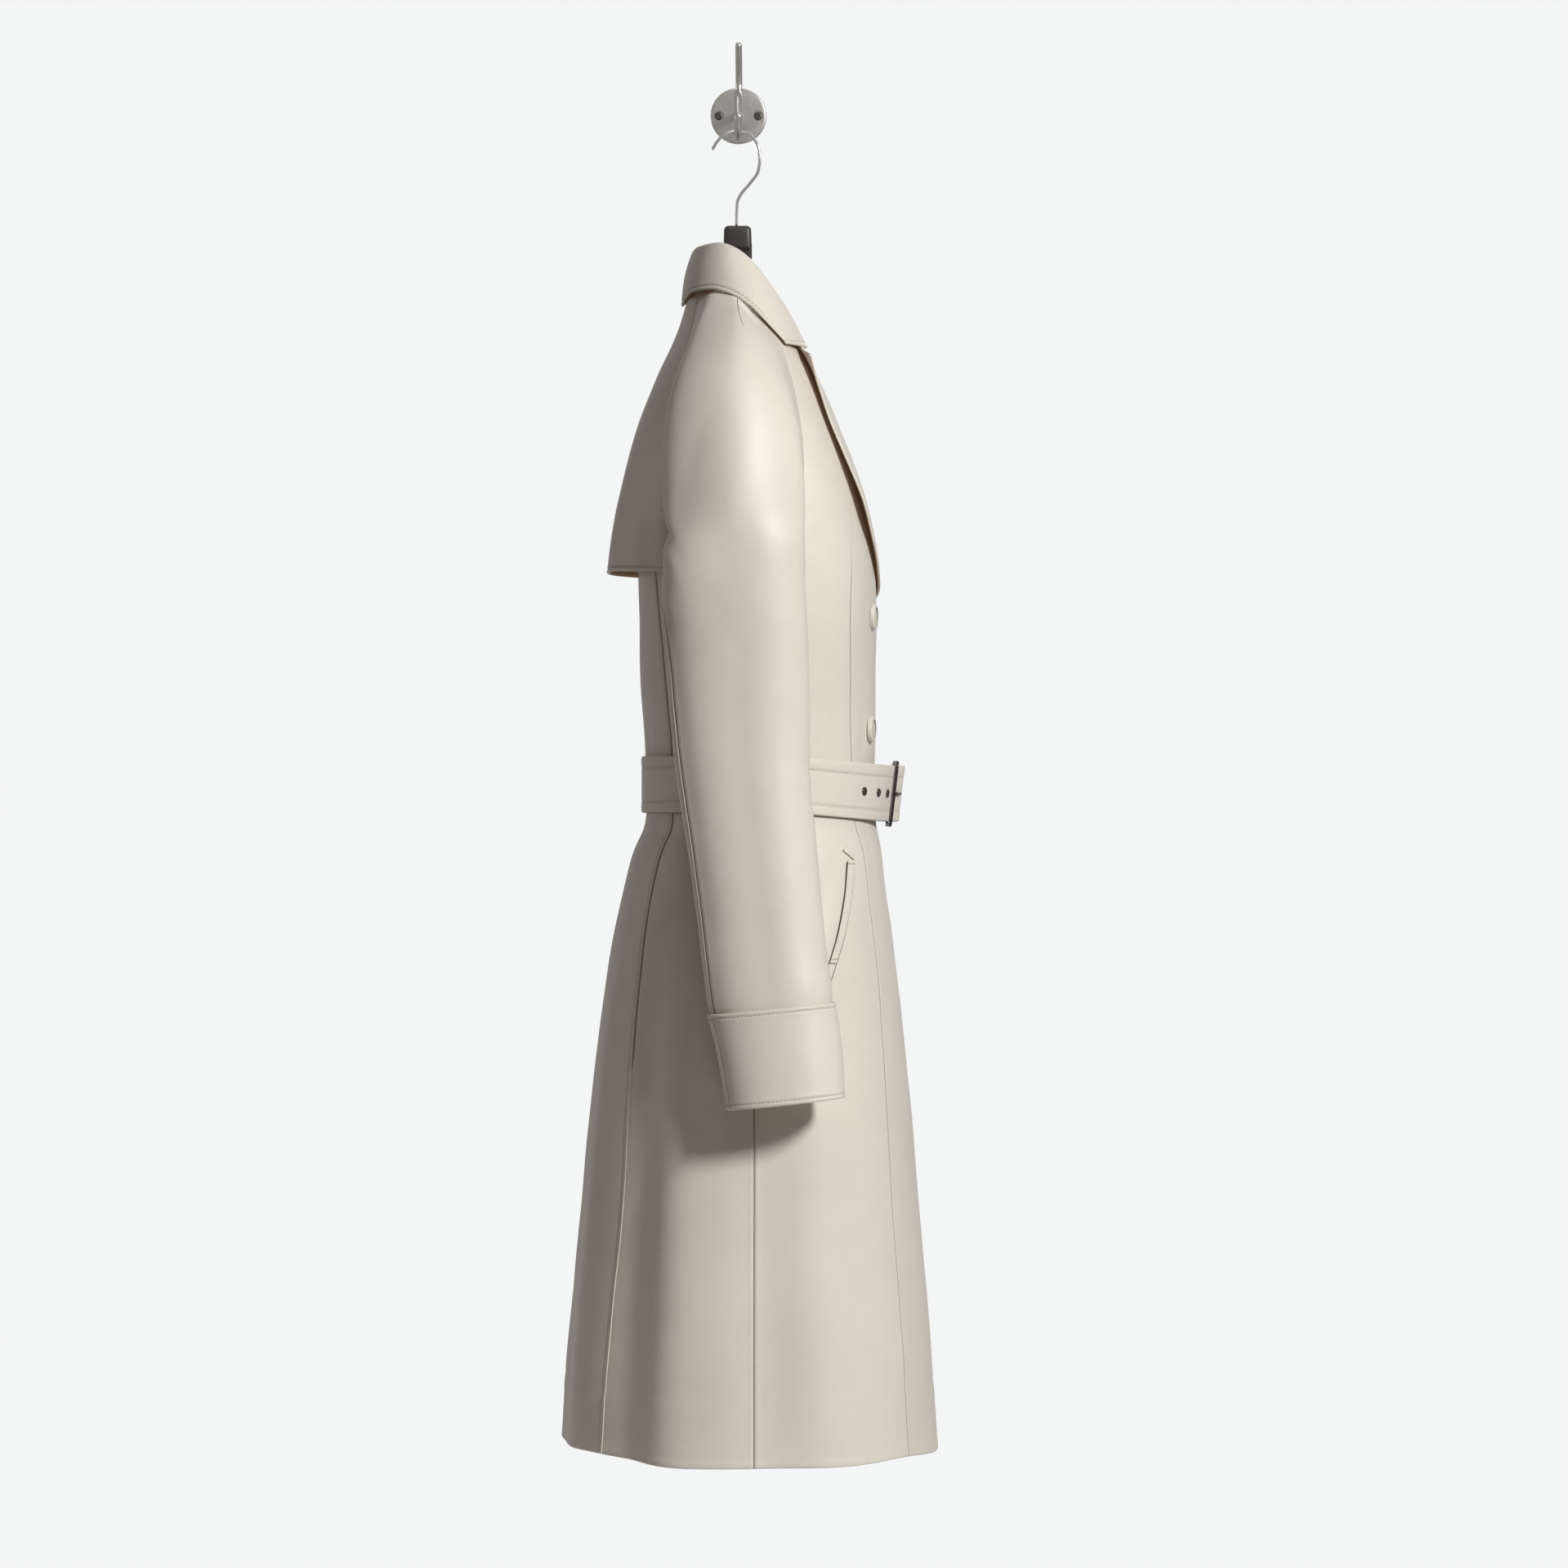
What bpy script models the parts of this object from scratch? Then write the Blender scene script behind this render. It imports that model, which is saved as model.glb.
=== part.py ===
"""Leather trench coat hanging on a wall hook.

Metres, +Z up. The wall is the plane Y = 0 and +Y goes into it. The origin is the middle of the
wall plate's back face. The coat hangs sideways to the wall with its front towards +X.
Tables are in millimetres in the coat's own frame: x forwards, v from the middle plane of the
coat towards the wearer's left, z up. The function place turns them into metres.
"""

import math

import bmesh
import bpy
import numpy as np
from mathutils import Vector

MM = 0.001
COAT_X = 2.0            # coat frame to wall frame, along the wall
COAT_Y = -270.0         # distance of the coat's middle plane from the wall
COAT_Z = -27.0          # coat frame to wall frame, in height
RIGHT, LEFT = -1, 1     # the wearer's sides, as signs of v
SEAM_GAP = 0.3          # between two pieces at a seam
LEATHER = 1.5           # thickness of one layer of leather
BELT_LEATHER = 3.0      # the belt is two layers
ROUNDNESS = 2.4         # exponent of the body's sections: 2 is an ellipse, more is squarer

NECK_Z = -171.0         # seam of the back panel and the collar stand
UNDERARM_Z = -400.0
UNDERARM_V = 170.5      # the under sleeve keeps at least this far out, clear of the side panels
UNDERLAP_DEPTH = 2.5    # the under-front lies this far inside the over-front

# One row for each level of the body, from the neck to the hem: the middle of the back, the
# middle of the front, half the width, and where the panel seams cross the level.
BODY = {
    "z":          (-165, -190, -215, -254, -311, -358, -400, -440, -480, -550, -620, -655, -694,
                   -712, -750, -830, -930, -1060, -1200, -1302),
    "back":       (-44, -50, -57, -72, -88, -95, -98, -98, -97, -96, -91, -90.5, -91.5,
                   -101, -111, -127, -141, -154, -167, -173),
    "front":      (16, 34, 53, 74, 98, 115, 126, 133, 135, 134, 133, 132.5, 133.5,
                   139, 143, 154, 165, 176, 188, 195),
    "half":       (60, 82, 109, 138, 157, 165, 168, 168, 165, 158, 151, 150, 150.5,
                   155, 161, 172, 184, 197, 212, 222),
    "back_seam":  (28, 40, 54, 74, 90, 99, 104, 107, 110, 114, 112, 112, 114,
                   115, 118, 126, 134, 145, 152, 157),
    "front_seam": (40, 48, 60, 66, 62, 80, 104, 117, 120, 113, 106, 103, 101,
                   98, 98, 105, 115, 126, 135, 142),
}
SIDE_SEAM_X = 16.0

# Levels at which the panels have a row: from the hem up to the underarm, then up to the neck at
# the back, and at the front, where the last rows rise towards the panel seam.
SKIRT_LEVELS = (-1302, -1235, -1150, -1060, -970, -880, -800, -745, -714, -694, -655, -620,
                -550, -490, -466, -443, -421, -400)
BACK_UPPER = tuple(np.linspace(UNDERARM_Z, NECK_Z, 10)[1:])
FRONT_UPPER = (-380, -358, -336, -313, -290, -266, -246, -232, -220)
FRONT_RISE = {"from": -240.0, "rate": 0.55}

# The raglan seams on the body, from the underarm to the neck, as x and z.
RAGLAN_BACK = {
    "x": (16, -10, -32, -46, -54, -59, -60, -56, -50, -45, -41, -36),
    "z": (-400, -398, -388, -372, -352, -320, -290, -262, -235, -212, -190, -171),
}
RAGLAN_FRONT = {
    "x": (16, 36, 52, 61, 64, 62, 59, 54, 48, 42, 36, 29),
    "z": (-400, -397, -388, -374, -352, -325, -298, -272, -250, -232, -214, -198),
}

# Top sleeve from the neck to the underarm: how far along the raglan seams the row starts and
# ends (0 at the neck, 1 at the underarm), then its front, outer and back points.
SHOULDER = {
    "front_share": (0.00, 0.09, 0.22, 0.36, 0.50, 0.64, 0.76, 0.86),
    "back_share":  (0.00, 0.08, 0.20, 0.33, 0.47, 0.61, 0.73, 0.84),
    "front_x": (12, 16, 27, 39, 52, 61, 64, 65),
    "front_v": (66, 88, 127, 160, 184, 196, 202, 206),
    "front_z": (-184, -199, -222, -251, -288, -330, -366, -398),
    "outer_x": (-6, -6, -3, -1, 0, -2, -3, -4),
    "outer_v": (67, 94, 137, 175, 205, 225, 236, 241),
    "outer_z": (-174, -183.5, -200, -222, -252, -295, -345, -392),
    "back_x": (-23, -27, -35, -47, -62, -70, -72, -71),
    "back_v": (60, 85, 124, 156, 178, 191, 199, 205),
    "back_z": (-172, -182, -203, -234, -275, -318, -360, -396),
    "trim": (0.6, 0.6, 0.15, 0.15, 0.15, 0.15, 0.6, 0.6),
}
ARMHOLE_TRIM = 1.2      # the under sleeve is narrower than the top sleeve's opening here
ARMHOLE_OUT = 0.5       # and its seam lies this far outside the body's
SLEEVE_TRIM = {"above": 0.5, "below": 0.15, "from_z": -520.0}

# The sleeve below the underarm: a tube whose rows tilt a little towards the cuff.
SLEEVE = {
    "z":      (-430, -470, -514, -560, -613, -665, -720, -776, -825, -858, -880),
    "back":   (-71, -71, -68, -66, -62, -55, -46.5, -38, -32, -27.5, -21),
    "front":  (65, 65, 67, 68, 69, 71, 76, 81, 86, 90.5, 89),
    "middle": (207, 207, 206, 205, 205, 206, 209, 212, 216, 219, 221),
    "half":   (34, 34, 34, 34, 34, 34, 34, 34, 35, 36, 34.5),
    "tilt":   (0, 0, 0, 0, 0, 0, 2, 3, 5, 6, 6),
    "front_seam": (-40, -45, -50, -50, -50, -50, -50, -50, -50, -50, -50),
    "back_seam":  (212, 186, 162, 152, 150, 150, 150, 150, 150, 150, 150),
}
SLEEVE_ROUNDNESS = 2.3
CUFF = {
    "z":      (-866, -890, -925, -956),
    "back":   (-28.5, -22, -15, -10),
    "front":  (93, 97, 101, 102),
    "middle": (220, 222, 226, 229),
    "half":   (38.2, 38.5, 38.5, 38.5),
    "tilt":   (6, 6, 6, 6),
}

# The storm flap: how far it stands off the back at its middle, and its lower edge.
FLAP = {
    "z":     (-178, -200, -232, -274, -314, -366, -424, -447),
    "lift":  (2.2, 3.0, 4.5, 8.5, 13.0, 19.0, 28.0, 30.0),
}
FLAP_SIDE_LIFT = 2.2
FLAP_SHOULDER = 2.2     # exponent of the lift's fall towards the sides: more is flatter in the middle
FLAP_TRIM = 0.6         # at each side seam
FLAP_FOLDS = {"v": (-62, 58), "width": (20, 24), "height": (4.0, 3.2), "grow": (-230.0, -430.0)}
FLAP_LEVELS = (-447, -424, -395, -366, -336, -306, -278, -252, -228, -205, -180)

# Turned collar: fold line and free edge from the middle of the back to the tip.
COLLAR = {
    "fold_x": (-45, -42, -33, -20, -4, 14, 32, 50, 67),
    "fold_v": (0, 22, 44, 58, 66, 68, 65, 59, 51),
    "fold_z": (-131, -130, -129, -128, -133, -146, -168, -195, -224),
    "edge_x": (-56, -53, -43, -27, -9, 9, 24, 37, 48),
    "edge_v": (0, 30, 59, 78, 90, 96, 99, 100, 99),
    "edge_z": (-187, -182, -176, -175, -178, -188, -201, -215, -226),
}
COLLAR_BULGE = 3.0
NECK_X = -8.0           # middle of the neck
STAND_INSET = 2.2       # between the fall and the stand inside it
STAND_DROP = 1.0        # the stand's top lies below the fold by this much
STAND_FOOT = {          # lower edge of the stand, just inside the neck seam
    "x": (-46, -43, -35, -22, -6, 10, 24, 36, 46),
    "v": (0, 20, 39, 52, 60, 62, 60, 56, 50),
    "z": (-162, -162, -162, -163, -167, -175, -186, -198, -210),
}

# Lapels: the line they turn on, and their free edge, from the collar to the break. The sign of v
# is for the right lapel. Lift is how far the free edge stands off the body, and stand is how far
# it is then turned forwards, or back if negative. Below the break each front goes on at the last
# roll_v past the middle.
LAPEL = {
    "roll_v":  (-50, -40, -24, -4, 18, 44, 68, 84),
    "roll_z":  (-221, -248, -285, -322, -362, -404, -444, -470),
    "edge_v":  (-84, -90, -95, -97, -92, -66, -16, 78),
    "edge_z":  (-243, -270, -305, -342, -384, -424, -456, -476),
    "lift":    (11.0, 8.0, 7.0, 8.5, 11.0, 7.0, 4.4, 3.2),
    "stand":   (3.0, 0.0, -2.5, -3.0, -2.5, -1.5, 0.0, 0.0),
}
LAPEL_STAND_POWER = 1.3         # how the stand grows from the roll line to the free edge
LAPEL_ROLL = 2.2        # outer radius of the turn
LAPEL_GAP = 0.2         # between the front's edge and the turn's inside
LAPEL_BULGE = 1.6       # between the turn and the free edge
LAPEL_CLEAR = 6.0       # the under-front's lapel ends this far from the over-front's edge
LAPEL_UNDER_SHARE = 0.75        # and it goes this far down

BELT_TOP_BACK = -627.0
BELT_WIDTH = 55.0
BELT_DROP = 9.0         # the belt hangs lower at the front
BELT_DROP_X = (50.0, 148.0)
BELT_RING = {"z": -655.0, "from_v": 105.0, "ease": 0.1}      # where the belt follows the body
BELT_LIFT = 1.5         # air between the coat and the belt
BELT_TILT = 3.2         # in front of this x the belt leans outwards at the top by this much
BELT_TILT_X = (124.0, 146.0)
# The belt's run over the front, outer face: how far left of the middle, and its x.
BELT_FRONT = {
    "v": (-90, -72, -50, -28, -10, 8, 26, 46, 70, 92, 112),
    "x": (124, 133, 141, 147, 153, 160, 160, 153, 142, 127, 113),
}
BELT_UNDER = {          # the end that carries the buckle, below the run above
    "v": (88, 70, 48, 28.8),
    "x": (124.5, 134, 142, 146.3),
}
BUCKLE = {"height": 66.0, "near_v": -23.0, "far_v": 27.4, "near_x": 152.7, "far_x": 146.4,
          "bar": 4.2, "belt_x": 148.0}
PRONG = {"radius": 1.5, "start_v": -2.0, "over_v": -14.0, "past_bar": (2.0, -4.0), "arch": 1.0}
EYELETS = (-94, -65, -36)
EYELET = {"outer": 4.2, "inner": 2.2, "thick": 1.0, "edge": 0.5, "gap": 0.4}
BUTTON_RADIUS = 12.5
BUTTON_THICK = 4.0
BUTTONS = {"upper_right": (-62, -492), "lower_right": (-62, -601),
           "upper_left": (62, -492), "lower_left": (62, -601)}

POCKET_LINE = {"x": (105, 103, 99, 94, 87), "z": (-727, -755, -780, -803, -826)}
POCKET_WELT = 8.0
POCKET_TAB = (14.0, 5.0)
POCKET_TAB_SLANT = -42.0
POCKET_TAB_OFFSET = (2.0, 10.0)         # from the top of the welt, in x and z

WIRE_RADIUS = 1.5
HANGER_WIRE = {
    "x": (-26, -21, -13, -3, 7, 15, 19.5, 20.5, 19, 11, 2, -1.5, -2, -2.2),
    "z": (-33, -25, -17.5, -15.1, -16.8, -22.5, -31, -43, -54, -66, -77, -85, -96, -107.7),
}
HANGER_NECK = {"top": -108.0, "foot": -132.7, "top_x": 13.6, "foot_x": 17.5, "half_v": 13.0,
               "x": -1.0}
# Hanger arms under the shoulders: top line, height and depth of the wood.
HANGER = {
    "v":      (0, 14, 30, 48, 60, 68, 94, 120, 146, 168),
    "top":    (-133, -133.5, -142, -157, -170, -179, -187.5, -197.5, -210, -223),
    "height": (26, 26, 26, 24, 23, 22, 20, 18, 16, 12),
    "depth":  (16, 16, 15, 14, 13, 13, 13, 13, 12, 11),
}
HANGER_X = -7.0

PLATE_RADIUS = 28.5
PLATE_THICK = 5.0
ROD_RADIUS = 4.0
HOOK_ARM = {            # distance from the wall and height, in the wall's frame
    "y": (-5.3, -80, -160, -200, -226, -238, -245, -250, -255.5, -262, -270.5, -280, -287.5, -292,
          -294.5),
    "z": (0, 0, 0, 0, 0, -4, -13, -25, -36, -44.5, -48.5, -46, -39, -32, -26),
}
UPPER_PRONG = {
    "y": (-221, -221, -224, -234, -248, -262, -275),
    "z": (4.35, 9, 15, 24, 31.5, 37.8, 43),
}
SCREW_X = 20.0
SCREW_RADIUS = 4.2
SCREW_THICK = 1.8
PRONG_ROD_RADIUS = 3.3

COLOURS = {             # linear base colour, roughness and metallic
    "leather": ((0.70, 0.62, 0.54, 1.0), 0.5, 0.0),
    "button": ((0.52, 0.45, 0.38, 1.0), 0.35, 0.0),
    "dark_metal": ((0.05, 0.05, 0.052, 1.0), 0.3, 1.0),
    "steel": ((0.60, 0.60, 0.60, 1.0), 0.28, 1.0),
    "hanger": ((0.028, 0.023, 0.02, 1.0), 0.5, 0.0),
}


def clear_scene():
    for obj in list(bpy.data.objects):
        bpy.data.objects.remove(obj, do_unlink=True)


def place(points):
    """Coat frame in millimetres to the wall's frame in metres."""
    p = np.asarray(points, dtype=float)
    return (p + np.array([COAT_X, COAT_Y, COAT_Z])) * MM


def smooth(xs, ys, x):
    """A curve through the points xs, ys with no overshoot at flat stretches."""
    xs = np.asarray(xs, dtype=float)
    ys = np.asarray(ys, dtype=float)
    if xs[0] > xs[-1]:
        xs = xs[::-1]
        ys = ys[::-1]
    x = np.clip(np.asarray(x, dtype=float), xs[0], xs[-1])
    step = np.diff(xs)
    slope = np.diff(ys) / step
    tangent = np.empty(len(xs))
    tangent[0] = slope[0]
    tangent[-1] = slope[-1]
    for i in range(1, len(xs) - 1):
        a, b = slope[i - 1], slope[i]
        if a * b <= 0:
            tangent[i] = 0.0
        else:
            w1 = 2 * step[i] + step[i - 1]
            w2 = step[i] + 2 * step[i - 1]
            tangent[i] = (w1 + w2) / (w1 / a + w2 / b)
    i = np.clip(np.searchsorted(xs, x) - 1, 0, len(xs) - 2)
    s = (x - xs[i]) / step[i]
    return ((2 * s**3 - 3 * s**2 + 1) * ys[i] + (s**3 - 2 * s**2 + s) * step[i] * tangent[i]
            + (-2 * s**3 + 3 * s**2) * ys[i + 1] + (s**3 - s**2) * step[i] * tangent[i + 1])


def along(table, names, share):
    """Columns of a table as smooth curves over the row number, at shares 0 to 1."""
    count = len(table[names[0]])
    rows = np.linspace(0.0, 1.0, count)
    return [smooth(rows, table[name], share) for name in names]


def signed_power(value, power):
    return np.sign(value) * np.abs(value) ** power


def body_at(name, z):
    return smooth(BODY["z"], BODY[name], z)


def body_point(t, z, side=LEFT):
    """Point of the body's outer surface: t is 0 at the middle of the back, pi at the front."""
    back = body_at("back", z)
    front = body_at("front", z)
    half = body_at("half", z)
    x = (front + back) / 2 - (front - back) / 2 * signed_power(np.cos(t), 2 / ROUNDNESS)
    v = side * half * signed_power(np.sin(t), 2 / ROUNDNESS)
    return np.stack([x, v, z + 0.0 * x], axis=-1)


def turn_at_x(x, z):
    back = body_at("back", z)
    front = body_at("front", z)
    share = np.clip((x - (front + back) / 2) / ((front - back) / 2), -1, 1)
    return np.arccos(-signed_power(share, ROUNDNESS / 2))


def turn_at_v(v, z, at_front):
    """Turn of the point v from the middle plane; v may be past the middle."""
    share = np.clip(v / body_at("half", z), -1, 1)
    angle = np.arcsin(signed_power(share, ROUNDNESS / 2))
    return math.pi - angle if at_front else angle


def body_normal(t, z, side=LEFT):
    step_t, step_z = 0.004, 0.5
    du = body_point(t + step_t, z, side) - body_point(t - step_t, z, side)
    dz = body_point(t, z + step_z, side) - body_point(t, z - step_z, side)
    n = np.cross(du, dz) * side
    n /= np.linalg.norm(n, axis=-1, keepdims=True)
    middle_x = (body_at("back", z) + body_at("front", z)) / 2
    middle = np.stack([middle_x + 0.0 * t, 0.0 * t, z + 0.0 * t], axis=-1)
    outward = np.sign(np.sum(n * (body_point(t, z, side) - middle), axis=-1, keepdims=True))
    return n * outward


def resample(points, count, trim_start=0.0, trim_end=0.0):
    """Points spaced evenly along a line, with its ends cut short."""
    points = np.asarray(points, dtype=float)
    run = np.concatenate([[0.0], np.cumsum(np.linalg.norm(np.diff(points, axis=0), axis=1))])
    wanted = np.linspace(trim_start, run[-1] - trim_end, count)
    return np.stack([np.interp(wanted, run, points[:, k]) for k in range(3)], axis=1)


def resample_both(points, count, trim_start, trim_end):
    """Points of a fine line and the line's direction at each.

    Count is how many points, or their shares of the line's run.
    """
    run = np.concatenate([[0.0], np.cumsum(np.linalg.norm(np.diff(points, axis=0), axis=1))])
    shares = np.linspace(0, 1, count) if isinstance(count, int) else np.array(count)
    wanted = trim_start + (run[-1] - trim_end - trim_start) * shares
    slope = row_tangents(points)
    return tuple(np.stack([np.interp(wanted, run, values[:, k]) for k in range(3)], axis=1)
                 for values in (points, slope))


def spline(points, count):
    """Smooth line through a few points, spaced evenly."""
    points = np.asarray(points, dtype=float)
    run = np.concatenate([[0.0], np.cumsum(np.linalg.norm(np.diff(points, axis=0), axis=1))])
    fine = np.linspace(0.0, run[-1], 12 * len(points))
    dense = np.stack([smooth(run, points[:, k], fine) for k in range(3)], axis=1)
    return resample(dense, count)


def finish(name, colour):
    material = bpy.data.materials.new(name)
    material.use_nodes = True
    shader = material.node_tree.nodes["Principled BSDF"]
    base, rough, metal = COLOURS[colour]
    shader.inputs["Base Color"].default_value = base
    shader.inputs["Roughness"].default_value = rough
    shader.inputs["Metallic"].default_value = metal
    return material


def add_object(name, vertices, faces, colour, smooth_angle=50):
    mesh = bpy.data.meshes.new(name)
    mesh.from_pydata([tuple(p) for p in vertices], [], faces)
    mesh.update()
    mesh.shade_smooth()
    mesh.set_sharp_from_angle(angle=math.radians(smooth_angle))
    obj = bpy.data.objects.new(name, mesh)
    obj.data.materials.append(finish(name, colour))
    bpy.context.collection.objects.link(obj)
    return obj


def face_outwards(obj):
    work = bmesh.new()
    work.from_mesh(obj.data)
    bmesh.ops.recalc_face_normals(work, faces=work.faces)
    work.to_mesh(obj.data)
    work.free()


def row_tangents(row):
    slope = np.gradient(row, axis=0)
    return slope / np.linalg.norm(slope, axis=1, keepdims=True)


def panel(name, rows, inside, thickness=LEATHER, closed=False, tangents=None):
    """A wall of leather: rows of outer points, and the same rows moved in by the thickness.

    The tangents are the directions along each row, so that two panels of one surface get the
    same normals at their seam and their cut edges stay parallel.
    """
    grid = np.array(rows)
    count_rows, count_cols = grid.shape[:2]
    if tangents is None:
        wide = np.concatenate([grid[:, -1:], grid, grid[:, :1]], axis=1) if closed else grid
        tangents = [row_tangents(row) for row in wide]
        tangents = [t[1:-1] for t in tangents] if closed else tangents
    up = np.gradient(grid, axis=0)
    normal = np.cross(np.array(tangents), up)
    normal /= np.linalg.norm(normal, axis=2, keepdims=True)
    vote = sum(float(np.dot(normal[r, c], grid[r, c] - inside(grid[r, c])))
               for r in range(count_rows) for c in range(count_cols))
    flip = vote < 0
    inner = grid + normal * (thickness if flip else -thickness)
    total = count_rows * count_cols
    columns = [(c, (c + 1) % count_cols) for c in range(count_cols if closed else count_cols - 1)]
    faces = []
    for r in range(count_rows - 1):
        for c, d in columns:
            low, high = r * count_cols, (r + 1) * count_cols
            face = (low + c, low + d, high + d, high + c)
            faces.append(face)
            faces.append(tuple(total + k for k in face[::-1]))
    top = (count_rows - 1) * count_cols
    for c, d in columns:
        faces.append((d, c, total + c, total + d))
        faces.append((top + c, top + d, total + top + d, total + top + c))
    if not closed:
        end = count_cols - 1
        for r in range(count_rows - 1):
            a, b = r * count_cols, (r + 1) * count_cols
            faces.append((a, b, total + b, total + a))
            faces.append((b + end, a + end, total + a + end, total + b + end))
    if flip:
        faces = [face[::-1] for face in faces]
    vertices = np.concatenate([grid.reshape(-1, 3), inner.reshape(-1, 3)])
    add_object(name, place(vertices), faces, "leather")


def in_body(p):
    return np.array([10.0, 0.0, p[2]])


def in_sleeve(side):
    def inside(p):
        return np.array([0.0 if p[2] > -600 else 30.0, side * 205.0, min(p[2], -330.0)])
    return inside


def tube(name, path, radius, colour, sides=10, in_coat=True):
    """A round bar along a path of points, with flat ends."""
    path = np.asarray(path, dtype=float)
    heading = np.gradient(path, axis=0)
    heading /= np.linalg.norm(heading, axis=1, keepdims=True)
    across = Vector(heading[0]).orthogonal().normalized()
    vertices = []
    for k, point in enumerate(path):
        ahead = Vector(heading[k])
        across = (across - ahead * across.dot(ahead)).normalized()
        up = ahead.cross(across)
        for s in range(sides):
            angle = 2 * math.pi * s / sides
            rim = across * math.cos(angle) + up * math.sin(angle)
            vertices.append(point + np.array(rim) * radius)
    faces = []
    for k in range(len(path) - 1):
        for s in range(sides):
            a, b = k * sides + s, k * sides + (s + 1) % sides
            faces.append((a, b, b + sides, a + sides))
    faces.append(tuple(range(sides - 1, -1, -1)))
    faces.append(tuple(range((len(path) - 1) * sides, len(path) * sides)))
    points = place(vertices) if in_coat else np.array(vertices) * MM
    add_object(name, points, faces, colour)


def stack(name, rings, colour, smooth_angle=40):
    """A closed solid through rings of equal count, with flat ends."""
    sides = len(rings[0])
    faces = []
    for k in range(len(rings) - 1):
        for s in range(sides):
            a, b = k * sides + s, k * sides + (s + 1) % sides
            faces.append((a, b, b + sides, a + sides))
    faces.append(tuple(range(sides - 1, -1, -1)))
    faces.append(tuple(range((len(rings) - 1) * sides, len(rings) * sides)))
    face_outwards(add_object(name, np.concatenate(rings), faces, colour, smooth_angle))


def disc(name, centre, normal, radius, thick, colour, edge=0.6, sides=16):
    """A round plate with softened edges whose back face lies at the centre point; metres."""
    turn = Vector(normal).to_track_quat("Z", "Y").to_matrix()
    rings = []
    for height, reach in ((0.0, radius - edge / 2), (edge, radius),
                          (thick - edge, radius), (thick, radius - edge)):
        ring = []
        for s in range(sides):
            angle = 2 * math.pi * s / sides
            local = Vector((reach * math.cos(angle), reach * math.sin(angle), height)) * MM
            ring.append(Vector(centre) + turn @ local)
        rings.append(np.array([tuple(p) for p in ring]))
    stack(name, rings, colour)


def seam_level(z):
    """Height at which a front's row meets its panel seam."""
    return z + max(z - FRONT_RISE["from"], 0.0) * FRONT_RISE["rate"]


def half_way(share):
    return (1.0 + share) / 2


def torso_row(ends_t, ends_z, count, side, inset=None, trim=SEAM_GAP / 2, fine=41):
    """One row of a body panel between two seams, trimmed by half a gap at each."""
    t = np.linspace(ends_t[0], ends_t[1], fine)
    z = np.linspace(ends_z[0], ends_z[1], fine)
    points = body_point(t, z, side)
    if inset is not None:
        points = points - body_normal(t, z, side) * inset(points)[:, None]
    return resample_both(points, count, trim, trim)


def seam_panel(name, rows, inside):
    """A panel from rows that come with their directions."""
    panel(name, [row[0] for row in rows], inside, tangents=[row[1] for row in rows])


def raglan(table, share):
    """Point of a raglan seam as x and z; share is 0 at the neck and 1 at the underarm."""
    x, z = along(table, ("x", "z"), 1.0 - share)
    return x, z


def make_back_panel():
    rows = []
    for z in list(SKIRT_LEVELS) + list(BACK_UPPER):
        edge = turn_at_v(body_at("back_seam", z), z, False)
        rows.append(torso_row((-edge, edge), (z, z), 9, LEFT))
    seam_panel("back_panel", rows, in_body)


def side_rows(side, table, seam_column, at_front, upper, shares):
    """Rows from the side seam, and above the underarm from the raglan seam, to a panel seam."""
    rows = []
    for z in SKIRT_LEVELS:
        low = z - SEAM_GAP / 2 if z == UNDERARM_Z else z
        seam = turn_at_v(body_at(seam_column, z), z, at_front)
        rows.append(torso_row((turn_at_x(SIDE_SEAM_X, z), seam), (low, z), 6, side))
    for z, share in zip(upper, shares):
        x, z_edge = raglan(table, share)
        seam = turn_at_v(body_at(seam_column, z), z, at_front)
        rows.append(torso_row((turn_at_x(x, z_edge), seam), (z_edge, z), 6, side))
    return rows


def make_side_panels(side, word):
    shares = [half_way(SHOULDER["back_share"][-1])] + list(SHOULDER["back_share"][::-1])
    back_rows = side_rows(side, RAGLAN_BACK, "back_seam", False, BACK_UPPER, shares)
    seam_panel("side_back_" + word, back_rows, in_body)
    shares = [half_way(SHOULDER["front_share"][-1])] + list(SHOULDER["front_share"][::-1])
    upper = [seam_level(z) for z in FRONT_UPPER]
    front_rows = side_rows(side, RAGLAN_FRONT, "front_seam", True, upper, shares)
    seam_panel("side_front_" + word, front_rows, in_body)


def roll_v(z):
    """Free edge of the right front at height z: the roll line above the break."""
    return smooth(LAPEL["roll_z"], LAPEL["roll_v"], z)


def make_front(side, word):
    """A front from its panel seam to its free edge, which is past the middle of the coat."""
    def inset(points):
        if side == RIGHT:
            return np.zeros(len(points))
        free = roll_v(points[:, 2])
        seam = body_at("front_seam", points[:, 2])
        share = np.clip((seam - points[:, 1]) / (seam - free - 5.0), 0, 1)
        return UNDERLAP_DEPTH * share * share * (3 - 2 * share)

    rows = []
    count = 10 if side == RIGHT else (0, 0.04, 0.1, 0.2, 0.33, 0.46, 0.6, 0.73, 0.87, 1)
    trim = SEAM_GAP / 2 if side == RIGHT else SEAM_GAP * 2
    for z in list(SKIRT_LEVELS) + list(FRONT_UPPER):
        z_seam = seam_level(z)
        seam = turn_at_v(body_at("front_seam", z_seam), z_seam, True)
        edge = turn_at_v(-roll_v(float(z)), z, True)
        rows.append(torso_row((seam, edge), (z_seam, z), count, side, inset, trim))
    seam_panel("front_" + word, rows, in_body)


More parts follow.
